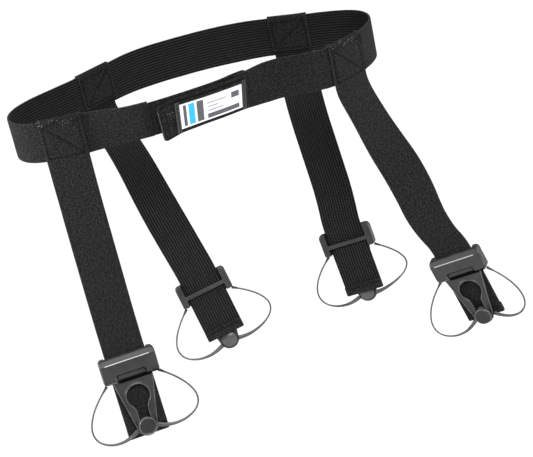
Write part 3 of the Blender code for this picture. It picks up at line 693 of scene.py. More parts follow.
class Pile:
    """Points, faces and places on the cloth, gathered for one mesh."""

    def __init__(self):
        self.points = []
        self.faces = []
        self.slots = []
        self.spots = []
        self.count = 0

    def add(self, points, groups, slots, spots=None):
        """Add points (n, 3) and groups of faces that number them from 0, a slot for each."""
        points = np.asarray(points, dtype=float).reshape(-1, 3)
        for faces, slot in zip(groups, slots):
            rows = (np.asarray(faces) + self.count).tolist()
            self.faces.extend(rows)
            self.slots.extend([slot] * len(rows))
        self.points.append(points)
        self.spots.append(np.zeros((len(points), 2)) if spots is None
                          else np.asarray(spots, dtype=float).reshape(-1, 2))
        self.count += len(points)

    def add_skin(self, mid, normal, outer, inner, along, across, slots):
        """Add a closed sheet: two faces that meet at the side edges, and two flat ends."""
        rows, cols = outer.shape
        spots = np.stack(np.broadcast_arrays(along, across), axis=-1)
        top = mid + normal * outer[..., None]
        low = (mid - normal * inner[..., None])[:, 1:-1]
        upper = np.arange(rows * cols).reshape(rows, cols)
        lower = upper.copy()
        lower[:, 1:-1] = rows * cols + np.arange(rows * (cols - 2)).reshape(rows, cols - 2)
        points = np.concatenate([top.reshape(-1, 3), low.reshape(-1, 3)])
        places = np.concatenate([spots.reshape(-1, 2), spots[:, 1:-1].reshape(-1, 2)])
        start = self.count
        for ids, slot in ((upper, slots[0]), (lower[:, ::-1], slots[1])):
            quads = quad_grid(ids) + start
            self.faces.extend(quads.tolist())
            self.slots.extend([slot] * len(quads))
        for a, b in ((lower[0], upper[0]), (upper[-1], lower[-1])):
            cap = [[a[0], a[1], b[1]], [a[-1], b[-2], a[-2]]]
            cap += [[a[j], a[j + 1], b[j + 1], b[j]] for j in range(1, cols - 2)]
            self.faces.extend([[int(v) + start for v in face] for face in cap])
            self.slots.extend([slots[0]] * len(cap))
        self.points.append(points)
        self.spots.append(places)
        self.count += len(points)

    def add_tubes(self, centres, ups, radii, slot, sides=6, flat=1.0):
        """Add closed tubes: centres (tubes, rings, 3), one up direction for each tube."""
        centres = np.asarray(centres, dtype=float)
        tubes, rings = centres.shape[:2]
        ups = np.asarray(ups, dtype=float).reshape(tubes, -1, 3)
        along = unit(np.gradient(centres, axis=1))
        side = unit(np.cross(along, ups))
        rise = np.cross(side, along)
        turn = 2 * math.pi * np.arange(sides) / sides
        radii = np.broadcast_to(radii, (rings,))[None, :, None, None]
        ring = (side[:, :, None] * np.cos(turn)[:, None] * radii
                + rise[:, :, None] * np.sin(turn)[:, None] * radii * flat)
        points = centres[:, :, None] + ring
        ids = np.arange(tubes * rings * sides).reshape(tubes, rings, sides)
        turned = np.roll(ids, -1, axis=2)
        quads = np.stack([ids[:, :-1], ids[:, 1:], turned[:, 1:], turned[:, :-1]], axis=-1)
        self.add(points, [quads.reshape(-1, 4), ids[:, 0], ids[:, -1, ::-1]], (slot,) * 3)

    def build(self, name, materials, sharp=None):
        """Make the mesh object."""
        mesh = bpy.data.meshes.new(name)
        mesh.from_pydata(np.concatenate(self.points).tolist(), [], self.faces)
        mesh.polygons.foreach_set("material_index", self.slots)
        layer = mesh.uv_layers.new(name="UVMap")
        corners = np.empty(len(mesh.loops), dtype=np.int32)
        mesh.loops.foreach_get("vertex_index", corners)
        layer.uv.foreach_set("vector", np.concatenate(self.spots)[corners].ravel()
                             .astype(np.float32))
        for material in materials:
            mesh.materials.append(material)
        mesh.shade_smooth()
        if sharp is not None:
            mesh.set_sharp_from_angle(angle=math.radians(sharp))
        obj = add_object(name, mesh)
        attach(obj, "root")
        return obj


def rounded(distance, thick, radius):
    """Half the thickness at a distance from a round edge."""
    share = np.clip(1 - np.asarray(distance) / radius, 0.0, 1.0)
    return thick / 2 * np.sqrt(1 - share ** 2)


def webbing_columns():
    """Distances across the webbing, close together at the selvages and over the ribs."""
    edge = np.array(EDGE_STEPS)
    ribs = SELVAGE + (np.arange(RIB_COUNT)[:, None] + np.array(RIB_STEPS)).ravel() * RIB_PITCH
    return np.concatenate([edge, ribs, [WEBBING_WIDTH - SELVAGE], WEBBING_WIDTH - edge[::-1]])


def webbing_faces(cols):
    """Distances of the smooth face and of the ribbed face from the middle."""
    base = rounded(np.minimum(cols, WEBBING_WIDTH - cols), WEBBING_THICK, SELVAGE)
    beside = np.abs(2 * (((cols - SELVAGE) / RIB_PITCH) % 1.0) - 1)
    inside = (cols > SELVAGE * 0.99) & (cols < WEBBING_WIDTH - SELVAGE * 0.99)
    return base, base - np.where(inside, RIB_DEEP * beside ** 2.6, 0.0)


def add_picks(pile, mid, normal, run, slot):
    """Wrap the weft's small turns round both selvages."""
    marks = np.arange(PICK_PITCH, run[-1] - PICK_PITCH / 2, PICK_PITCH)

    def sample(grid):
        return np.stack([np.interp(marks, run, grid[:, k]) for k in range(3)], axis=-1)

    for edge, inner in ((0, 6), (-1, -7)):
        rim = sample(mid[:, edge])
        inward = unit(sample(mid[:, inner]) - rim)
        face = unit(sample(normal[:, edge]))
        centres = []
        for deep, rise in PICK_TURN:
            centres.append(rim + inward * deep * MM + face * rise * MM)
        pile.add_tubes(np.stack(centres, axis=1), unit(np.cross(inward, face))[:, None],
                       np.array(PICK_TAPER) * PICK_RADIUS, slot, 5)


def make_band(line, mats):
    """Make the waist band's webbing."""
    cols = webbing_columns()
    outer, inner = webbing_faces(cols)
    dist = np.arange(0.0, line.length, BAND_STEP)
    dist = np.append(dist, line.length)
    mid = line.wall(dist[:, None], cols - BAND_HALF, 0.0)
    normal = np.broadcast_to(line.axes(dist)[1][:, None], mid.shape)
    shape = mid.shape[:2]
    pile = Pile()
    pile.add_skin(mid, normal, np.broadcast_to(outer, shape), np.broadcast_to(inner, shape),
                  dist[:, None], cols[None], (0, 1))
    add_picks(pile, mid, normal, dist, 2)
    band = pile.build("band_webbing", (mats["face"], mats["ribs"], mats["selvage"]), 50)
    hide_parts("waist_band")


def seam_lines(low):
    """The sewn box and its cross, as lines of (across, down)."""
    half = BAND_HALF - SEAM_INSET
    corners = [(-half, SEAM_TOP), (half, SEAM_TOP), (half, low), (-half, low)]
    lines = [(corners[k], corners[(k + 1) % 4]) for k in range(4)]
    lines.append((corners[0], corners[2]))
    lines.append((corners[1], corners[3]))
    return lines


def seam_dents(across, down, lines):
    """How deep the cloth is drawn in near the seams."""
    across, down = np.broadcast_arrays(across, down)
    dent = np.zeros(across.shape)
    for (ax, ay), (bx, by) in lines:
        dx, dy = bx - ax, by - ay
        place = ((across - ax) * dx + (down - ay) * dy) / (dx * dx + dy * dy)
        place = np.clip(place, 0.0, 1.0)
        gap = np.hypot(across - ax - place * dx, down - ay - place * dy)
        depth = 0.45 if (ax, ay) == lines[-1][0] and (bx, by) == lines[-1][1] else 1.0
        dent = np.maximum(dent, depth * np.exp(-(gap / SEAM_SPREAD) ** 2))
    return dent * SEAM_PUCKER


def stitches(line, pitch=STITCH_PITCH, length=STITCH_LENGTH):
    """Start and end of each stitch along a line in the cloth."""
    start, end = (np.array(p, dtype=float) for p in line)
    span = np.linalg.norm(end - start)
    count = max(int(round(span / pitch)), 1)
    way = (end - start) / span
    middles = (np.arange(count) + 0.5) * span / count
    return [(start + way * (m - length / 2), start + way * (m + length / 2)) for m in middles]


def sew(pile, spans, surface, slot, radius=THREAD_RADIUS, wobble=0.00012):
    """Lay one thread for each stitch. surface(across, down, rise) gives points."""
    if not spans:
        return
    starts = np.array([s for s, _ in spans])
    ends = np.array([e for _, e in spans])
    drift = RNG.normal(0.0, wobble, (2, len(spans), 2))
    starts = starts + drift[0]
    ends = ends + drift[1]
    centres = []
    for place, rise in STITCH_ARCH:
        spot = starts + (ends - starts) * place
        centres.append(surface(spot[:, 0], spot[:, 1], rise))
    above = surface(starts[:, 0], starts[:, 1], 0.001) - surface(starts[:, 0], starts[:, 1], 0.0)
    pile.add_tubes(np.stack(centres, axis=1), unit(above)[:, None],
                   np.array(STITCH_TAPER) * radius, slot)


def patch_off(down):
    """Distance of the outer patch from the band's middle: it comes loose near its foot."""
    return PRESSED + (LAYER - PRESSED) * np.clip((down - 0.012) / (WEBBING_WIDTH - 0.012), 0, 1)


def fold_thin(downs):
    """Share of its thickness that the webbing keeps, least where it folds over the band."""
    return 1.0 - (1.0 - FOLD_THIN) * np.exp(-np.maximum(downs, 0.0) / 0.0030)


def strap_rows(path, cols):
    """Middle points of the strap, row by row, with each row's place in its patch."""
    across = cols - BAND_HALF
    rows = []
    downs = []
    for down in np.arange(WEBBING_WIDTH - INNER_PATCH_SHORT, 0.0004, -PATCH_STEP):
        rows.append(path.patch(across, down, -PRESSED))
        downs.append(down)
    for angle in np.radians(np.arange(180.0, -1.0, -20.0)):
        rise = PRESSED_RISE * math.sin(angle)
        rows.append(path.patch(across, -rise, PRESSED * math.cos(angle)))
        downs.append(-rise)
    for down in np.arange(PATCH_STEP, WEBBING_WIDTH - 0.0004, PATCH_STEP):
        rows.append(path.patch(across, down, patch_off(down)))
        downs.append(down)
    width_0 = path.frame(0.0)[0]
    bow = path.patch(across, WEBBING_WIDTH, LAYER) - (path.at(0.0) + across[:, None] * width_0)
    steps = int(path.total / STRAP_STEP)
    for dist in np.linspace(0.0, path.total, steps):
        width = path.frame(dist / path.drop)[0]
        fade = 1.0 - ease(dist / (1.2 * WEBBING_WIDTH))
        rows.append(path.at(dist) + across[:, None] * width + bow * fade)
        downs.append(WEBBING_WIDTH + dist)
    width, rear = path.frame(path.total / path.drop)
    way = path.lean(path.total / path.drop)
    radius = LAYER / 2
    end = path.at(path.total)
    for angle in np.radians(np.arange(22.5, 181.0, 22.5)):
        spot = end + rear * radius * (1 - math.cos(angle)) + way * radius * math.sin(angle)
        rows.append(spot + across[:, None] * width)
        downs.append(1.0)
    for back in np.linspace(0.0012, HEM_LENGTH, 4):
        rows.append(end + rear * LAYER - way * back + across[:, None] * width)
        downs.append(1.0)
    return np.array(rows), np.array(downs)


def grid_normals(mid):
    """Normals of a grid of points."""
    return unit(np.cross(np.gradient(mid, axis=0), np.gradient(mid, axis=1)))


def make_strap(path, mats):
    """Make one strap with its sewn patches and hem."""
    cols = webbing_columns()
    across = cols - BAND_HALF
    outer, inner = webbing_faces(cols)
    mid, downs = strap_rows(path, cols)
    normal = grid_normals(mid)
    # A row inside the outer patch tells whether the normals point away from the waist.
    patch_rows = np.flatnonzero((downs > 0.004) & (downs < 0.02))
    probe = patch_rows[len(patch_rows) * 3 // 4]
    if (normal[probe, 0] * path.band.outward(path.dist)).sum() < 0:
        normal = -normal
    run = np.linalg.norm(np.diff(mid[:, len(cols) // 2], axis=0), axis=1)
    run = np.concatenate([[0.0], np.cumsum(run)])
    lines = seam_lines(SEAM_LOW[path.name])
    dents = seam_dents(across[None], downs[:, None], lines)
    dents = dents * np.minimum(outer / (WEBBING_THICK / 2), 1.0)
    pile = Pile()
    thin = fold_thin(downs)[:, None]
    pile.add_skin(mid, normal, (outer - dents) * thin, inner * thin, run[:, None], cols[None],
                  (0, 1))
    add_picks(pile, mid, normal, run, 2)
    strap = pile.build("strap_webbing_" + path.name,
                       (mats["face"], mats["ribs"], mats["selvage"]), 50)
    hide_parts("strap_" + path.name)


def patch_surface(path, side):
    """Surface of the patch for stitches: side 1 is outside the ring, -1 inside it."""
    def surface(across, down, rise):
        covered = (side > 0) | (down < WEBBING_WIDTH - INNER_PATCH_SHORT)
        layer = patch_off(down) if side > 0 else PRESSED
        face = (WEBBING_THICK / 2 - SEAM_PUCKER * 0.7) * fold_thin(down)
        return path.patch(across, down, side * (np.where(covered, layer, 0.0) + face + rise))
    return surface


def hem_surface(path, side):
    """Surface of the strap's lower end, from its edge up. side 1 is the front."""
    share = path.total / path.drop
    width, rear = path.frame(share)
    way = path.lean(share)
    end = path.at(path.total)

    def surface(across, up, rise):
        off = (-(WEBBING_THICK / 2 + rise) if side > 0 else LAYER + WEBBING_THICK / 2 + rise)
        return (end + np.outer(across, width) - np.outer(up, way) + rear * off)
    return surface


def make_stitches(path, mats):
    """Sew both patches and the hem of one strap, and lay a dark tube of painted shadow down the
    outer patch's edge.
    """
    pile = Pile()
    lines = seam_lines(SEAM_LOW[path.name])
    half = BAND_HALF - SEAM_INSET
    top_row = ((-half - 0.0008, 0.0011), (half + 0.0006, 0.0011))
    spans = [span for line in lines[:-1] for span in stitches(line)]
    outside = patch_surface(path, 1)
    inside = patch_surface(path, -1)
    for surface in (outside, inside):
        sew(pile, spans, surface, 0)
        sew(pile, stitches(lines[-1]), surface, 0, radius=THIN_THREAD)
    sew(pile, stitches(top_row, 0.0017, 0.0012), outside, 0, radius=TOP_THREAD)
    back = hem_surface(path, -1)
    front = hem_surface(path, 1)
    zigzag = []
    for k in range(ZIGZAG_COUNT):
        left = -half + 2 * half * k / ZIGZAG_COUNT
        right = -half + 2 * half * (k + 1) / ZIGZAG_COUNT
        low, high = HEM_SEAM if k % 2 else HEM_SEAM[::-1]
        zigzag.append((np.array((left, low)), np.array((right, high))))
    sew(pile, zigzag, back, 0, wobble=0.00006)
    sew(pile, stitches(((-half, 0.0034), (half, 0.0034))), front, 0)
    knot = np.array((half + 0.0009, 0.0012))
    tails = []
    for _ in range(KNOT_TAILS):
        start = knot + RNG.normal(0.0, 0.0006, 2)
        tails.append((start, start + np.array([RNG.normal(0.0004, 0.0007),
                                               RNG.uniform(0.0008, 0.0024)])))
    sew(pile, tails, outside, 0, radius=TAIL_THREAD)
    # Painted shadow: a dark tube, thickest at the top, down the outer patch's edge.
    downs = np.linspace(0.0008, 2 * BAND_HALF - 0.001, 40)
    across = np.full(40, BAND_HALF + 0.0002) + RNG.normal(0.0, 0.00008, 40)
    edge = outside(across, downs, 0.0)
    thick = np.interp(downs, *EDGE_SHADOW)
    pile.add_tubes(edge[None], path.band.outward(path.dist)[None, None], thick, 0)
    obj = pile.build("stitches_" + path.name, (mats["thread"],))


def make_fuzz(path, mats):
    """Pale thread ends that stand out of the top seam of a patch."""
    pile = Pile()
    outside = patch_surface(path, 1)
    centres = []
    ups = []
    for _ in range(FUZZ_COUNT):
        a = RNG.uniform(-BAND_HALF * 0.95, BAND_HALF * 0.55)
        down = RNG.uniform(0.0002, 0.0030)
        turn = RNG.uniform(-math.pi, math.pi)
        length = RNG.uniform(0.0006, 0.0017)
        tall = RNG.uniform(0.0001, 0.0004)
        points = []
        for t in np.linspace(0.0, 1.0, 5):
            bend = 0.0004 * math.sin(math.pi * t)
            x = a + math.cos(turn) * length * t + bend * math.sin(turn)
            y = down + math.sin(turn) * length * t * 0.7
            points.append(outside(np.array([x]), np.array([y]), 0.00018
                                  + tall * math.sin(math.pi * t))[0])
        centres.append(points)
        ups.append(path.band.outward(path.dist))
    for a in (-0.0052, -0.0035, -0.0112):
        rise = RNG.uniform(0.0016, 0.0030)
        lean = RNG.uniform(-0.0006, 0.0006)
        centres.append([outside(np.array([a + lean * t * t]), np.array([0.0004 - rise * t]),
                                0.0002)[0] for t in np.linspace(0.0, 1.0, 5)])
        ups.append(path.band.outward(path.dist))
    pile.add_tubes(centres, np.array(ups)[:, None], FUZZ_THREAD, 0, 5)
    obj = pile.build("thread_ends_" + path.name, (mats["pale_thread"],))


def tab_surface(line, slant, off=0.0):
    """Surface of a tab whose far end slants: points at (distance, rise, off its face)."""
    def surface(dist, across, rise):
        shift = slant * np.asarray(across) * np.asarray(dist) / line.length
        return line.wall(dist + shift, across, off + rise)
    return surface


def make_tab(name, node, line, round_end, slant, mats):
    """Make a closing tab: soft cloth with rounded corners at one end."""
    quarter = math.pi / 2
    corner = [TAB_CORNER * (1 - math.cos(quarter * k / TAB_RINGS)) for k in range(TAB_RINGS)]
    ends = np.array(corner + list(np.linspace(TAB_CORNER, line.length, 60)))
    cut = np.maximum(TAB_CORNER - ends, 0.0)
    half = TAB_HALF - TAB_CORNER + np.sqrt(TAB_CORNER ** 2 - cut ** 2)
    edge = np.array([0.0, 0.015, 0.05, 0.11, 0.20])
    share = np.concatenate([edge, np.linspace(0.32, 1.68, 14), 2.0 - edge[::-1]]) - 1.0
    dist = ends if round_end == 0 else line.length - ends
    across = share[None] * half[:, None]
    mid = tab_surface(line, slant)(dist[:, None], across, 0.0)
    normal = np.broadcast_to(line.axes(dist)[1][:, None], mid.shape)
    side = half[:, None] - np.abs(across)
    near = np.minimum(side, ends[:, None] + 0.00006)
    near = np.minimum(near, line.length - ends[:, None] + 0.00006)
    body = rounded(near, TAB_THICK, 0.0011)
    body[:, 0] = 0.0
    body[:, -1] = 0.0
    pile = Pile()
    pile.add_skin(mid, normal, body, body, dist[:, None], across + BAND_HALF, (0, 0))
    tab = pile.build(name, (mats["tab"],), 60)
    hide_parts(node)


def make_tab_stitches(hook_line, loop_line, band_line, mats):
    """Sew round the closing tabs and across the band's end beside them."""
    pile = Pile()
    half = TAB_HALF
    end = hook_line.length
    face = tab_surface(hook_line, TAB_SLANT, TAB_THICK / 2 - 0.00003)
    rows = [((0.0012, half - 0.0016), (end - 0.0018, half - 0.0016)),
            ((0.0012, -half + 0.0014), (end - 0.0030, -half + 0.0014)),
            ((end - 0.0016, half - 0.0030), (end - 0.0016, -half + 0.0030)),
            ((end - 0.0042, half - 0.0036), (end - 0.0042, -half + 0.0032))]
    spans = [span for row in rows for span in stitches(row)]
    sew(pile, spans, face, 0)
    edge = tab_surface(loop_line, 0.0, -TAB_THICK / 2 + 0.00003)
    long = loop_line.length
    rows = [((0.0030, half - 0.0016), (long - 0.0012, half - 0.0016)),
            ((0.0030, -half + 0.0016), (long - 0.0012, -half + 0.0016))]

    def inward(dist, across, rise):
        return edge(dist, across, -rise)

    sew(pile, [span for row in rows for span in stitches(row)], inward, 0)
    band = tab_surface(band_line, 0.0, WEBBING_THICK / 2 - 0.00003)
    half = BAND_HALF
    rows = [((0.0014, -half + 0.0012), (0.0014, half - 0.0012)),
            ((0.0034, -half + 0.0012), (0.0034, half - 0.0012))]
    sew(pile, [span for row in rows for span in stitches(row, 0.0019, 0.0014)], band, 0,
        radius=BAND_THREAD)
    marks = [((end - 0.0096, 0.0042), (end - 0.0085, 0.0046)),
             ((end - 0.0078, 0.0044), (end - 0.0066, 0.0041)),
             ((end - 0.0060, 0.0046), (end - 0.0052, 0.0052))]
    sew(pile, [(np.array(a), np.array(b)) for a, b in marks], face, 1, radius=PALE_THREAD)
    # Painted highlight: a pale uneven rim along the outer tab's free end.
    rises = np.linspace(-TAB_HALF + 0.0026, TAB_HALF - 0.0026, 30)
    add_edge_highlight(pile, hook_line.axes(end)[1], face(np.full(30, end - 0.00035), rises, -0.00025),
            0.00030, 0.00008, 2)
    obj = pile.build("stitches_closure", (mats["thread"], mats["pale_thread"], mats["edge_highlight"]))


def label_surface(line, off=0.0):
    """Surface of the label on the outer tab: points at (distance, rise, off its face)."""
    def surface(dist, rise, out):
        slanted = LABEL_INSET + dist + LABEL_SLANT * (LABEL_TOP - np.asarray(rise))
        return line.wall(slanted, rise, off + out)
    return surface


def add_pad(pile, line, box, off, thick, edge, slots, steps=(24, 8), turned=False):
    """Add a flat pad with round edges over (start, end, low, high) of the label."""
    start, end, low, high = box
    if turned:
        us = spaced(0.0, high - low, edge, steps[0])
        vs = spaced(0.0, end - start, edge, steps[1])
        dist = start + np.broadcast_to(vs[None], (len(us), len(vs)))
        tall = low + np.broadcast_to(us[:, None], (len(us), len(vs)))
    else:
        us = spaced(0.0, end - start, edge, steps[0])
        vs = spaced(0.0, high - low, edge, steps[1])
        dist = start + np.broadcast_to(us[:, None], (len(us), len(vs)))
        tall = low + np.broadcast_to(vs[None], (len(us), len(vs)))
    mid = label_surface(line)(dist, tall, off)
    normal = line.axes(dist)[1]
    near = np.minimum(us, us[-1] - us)[:, None] + 0.00003
    near = np.minimum(near, np.minimum(vs, vs[-1] - vs)[None])
    body = rounded(near, thick, edge)
    pile.add_skin(mid, normal, body, body, us[:, None], vs[None], slots)


def spaced(low, high, edge, steps):
    """Even distances with a few close ones at both ends."""
    near = low + np.array([0.0, 0.08, 0.3, 0.65]) * edge
    far = high - (near[::-1] - low)
    return np.concatenate([near, np.linspace(low + edge, high - edge, steps), far])


def make_pocket(line, mats):
    """Make the tape frame of the label, and sew it on."""
    tape = Pile()
    off = LABEL_BACK + BINDING_THICK / 2
    for left in SIDE_STRIPS:
        for shift in (0.0, SIDE_BINDING / 2):
            box = (left + shift, left + shift + SIDE_BINDING / 2, LABEL_LOW, LABEL_TOP)
            add_pad(tape, line, box, off, BINDING_THICK, 0.00035, (0, 0), (30, 3), turned=True)
    for low in (LABEL_LOW, LABEL_TOP - EDGE_BINDING):
        box = (0.0006, LABEL_WIDE - 0.0006, low, low + EDGE_BINDING)
        add_pad(tape, line, box, off, BINDING_THICK * 0.9, 0.0004, (1, 1), (60, 3))
    pocket = tape.build("label_tape", (mats["binding"], mats["tab"]))
    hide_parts("label_pocket")

    seams = Pile()
    face = label_surface(line, off + BINDING_THICK / 2 - 0.00004)
    rows = [((left + SIDE_BINDING / 2, LABEL_LOW + 0.0006),
             (left + SIDE_BINDING / 2, LABEL_TOP - 0.0006)) for left in SIDE_STRIPS]
    low = LABEL_LOW + EDGE_BINDING / 2
    rows.append(((0.003, low), (LABEL_WIDE - 0.003, low)))
    sew(seams, [span for row in rows for span in stitches(row, 0.0016, 0.0011)], face, 0,
        radius=LABEL_THREAD, wobble=0.00005)
    # Painted highlights: pale uneven rims along both edges of each side binding.
    rises = np.linspace(LABEL_LOW + 0.0003, LABEL_TOP - 0.0003, 30)
    for left in SIDE_STRIPS:
        for edge in (left + 0.0001, left + SIDE_BINDING - 0.0001):
            add_edge_highlight(seams, line.axes(0.0)[1], face(np.full(30, edge), rises, -0.00018),
                    0.00020, 0.00006, 1)
    obj = seams.build("stitches_label", (mats["thread"], mats["edge_highlight"]))


def add_edge_highlight(pile, up, points, radius, play, slot):
    """Add a pale, uneven rim along a line of points: a painted highlight."""
    pile.add_tubes(points[None], up[None, None],
                   radius + RNG.uniform(-play, play, len(points)), slot)


def quad_grid(ids, flip=False):
    """Quads of a grid of point numbers, row by row."""
    quads = np.stack([ids[:-1, :-1], ids[:-1, 1:], ids[1:, 1:], ids[1:, :-1]], axis=-1)
    if flip:
        quads = quads[..., [0, 3, 2, 1]]
    return quads.reshape(-1, 4)


def make_card(line, mats):
    """Make the label's card: a thin closed plate with its print as faces of other inks."""
    cuts_u, cuts_v, cells = LABEL_PRINT
    us = refine(np.array(cuts_u), 0.02)
    vs = refine(np.array(cuts_v), 0.06)
    wide = (SIDE_BINDING + GAP, LABEL_WIDE - SIDE_BINDING - GAP)
    tall = (LABEL_LOW + EDGE_BINDING + GAP, LABEL_TOP - EDGE_BINDING - GAP)
    # The line runs from the viewer's right, so the print is turned round to read from the left.
    dist = wide[1] + (wide[0] - wide[1]) * us
    height = tall[0] + (tall[1] - tall[0]) * vs
    dist, height = np.meshgrid(dist, height, indexing="ij")
    top = label_surface(line, LABEL_BACK + CARD_THICK)(dist, height, 0.0)
    back = label_surface(line, LABEL_BACK)(dist, height, 0.0)
    upper = np.arange(dist.size).reshape(dist.shape)
    lower = upper + dist.size
    inks = np.zeros((len(us) - 1, len(vs) - 1), dtype=int)
    mid_u, mid_v = np.meshgrid((us[:-1] + us[1:]) / 2, (vs[:-1] + vs[1:]) / 2, indexing="ij")
    for ink, (u0, u1, v0, v1) in cells:
        inks[(u0 < mid_u) & (mid_u < u1) & (v0 < mid_v) & (mid_v < v1)] = ink
    faces = quad_grid(upper)
    groups = [faces[inks.ravel() == ink] for ink in range(len(mats["print"]))]
    sides = [groups[0], quad_grid(lower, flip=True)]
    for j in (0, -1):
        sides.append(quad_grid(np.stack([upper[:, j], lower[:, j]], axis=1)))
        sides.append(quad_grid(np.stack([upper[j], lower[j]], axis=1)))
    groups[0] = np.concatenate(sides)
    card = Pile()
    spots = np.tile(np.stack([dist, height], axis=-1).reshape(-1, 2), (2, 1))
    card.add(np.concatenate([top.reshape(-1, 3), back.reshape(-1, 3)]), groups,
             range(len(groups)), spots)
    obj = card.build("label_print", mats["print"], 40)
    fix_normals(obj)
    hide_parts("label_card")


def refine(cuts, step):
    """Add cuts so that none is further apart than a step."""
    out = []
    for a, b in zip(cuts[:-1], cuts[1:]):
        count = max(int(math.ceil((b - a) / step)), 1)
        out.extend(np.linspace(a, b, count, endpoint=False))
    return np.append(out, cuts[-1])


def fix_normals(obj):
    """Turn all faces outwards."""
    bm = bmesh.new()
    bm.from_mesh(obj.data)
    bmesh.ops.recalc_face_normals(bm, faces=bm.faces)
    bm.to_mesh(obj.data)
    bm.free()


def arc(cx, cz, radius, start, end, steps):
    """Points on an arc, in degrees."""
    angles = np.radians(np.linspace(start, end, steps))
    return [(cx + radius * math.cos(a), cz + radius * math.sin(a)) for a in angles]


def plate_outline(inset, steps):
    """Front outline of the keyhole plate: straight shoulders that taper to a round tip."""
    half = PLATE_SHOULDER / 2 - inset
    radius = TIP_RADIUS - inset
    shoulder = -SLIDER_HIGH / 2 + 0.001
    drop = shoulder + BUTTON_DROP
    lean = math.degrees(math.atan2(drop, half) - math.acos(radius / math.hypot(half, drop)))
    tip = arc(0.0, -BUTTON_DROP, radius, lean, -180.0 - lean, steps)
    return [(half, shoulder)] + tip + [(-half, shoulder)]


def keyhole_outline(grow, steps):
    """Round hole that runs down into a narrow way for the button's neck."""
    radius = KEYHOLE_WIDE / 2 + grow
    half = KEYWAY_WIDE / 2 + grow
    flare = 0.42 * KEYHOLE_WIDE
    right = arc(0.0, -KEYHOLE_DROP, radius, 90.0, -38.0, 3 * steps)
    join = arc(half + flare, -KEYHOLE_DROP - radius - 0.36 * flare, flare, 148.0, 180.0, steps)
    line = right + join + [(half, -BUTTON_DROP + 0.001)]
    return [(-x, z) for x, z in reversed(line[1:])] + line


def soft_clip(path):
    """Copy one CAD slider and give it moulded, rounded edges."""
    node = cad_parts["slider_" + path.name]
    mesh = node.data.copy()
    mesh.transform(path.slider_matrix().inverted())
    mesh.transform(Matrix.Scale(1 / MM, 4))
    bm = bmesh.new()
    bm.from_mesh(mesh)
    bmesh.ops.remove_doubles(bm, verts=bm.verts, dist=0.004)
    bm.to_mesh(mesh)
    bm.free()
    mesh.materials.clear()
    clip = add_object("clip_master", mesh)
    skin = clip.modifiers.new("skin", "REMESH")
    skin.mode = "VOXEL"
    skin.voxel_size = 0.21
    skin.use_smooth_shade = True
    melt = clip.modifiers.new("melt", "SMOOTH")
    melt.factor = 0.5
    melt.iterations = 5
    fewer = clip.modifiers.new("fewer", "DECIMATE")
    fewer.ratio = 0.30
    bpy.context.view_layer.update()
    graph = bpy.context.evaluated_depsgraph_get()
    out = bpy.data.meshes.new_from_object(clip.evaluated_get(graph))
    bpy.data.objects.remove(clip, do_unlink=True)
    out.transform(Matrix.Scale(MM, 4))
    return out


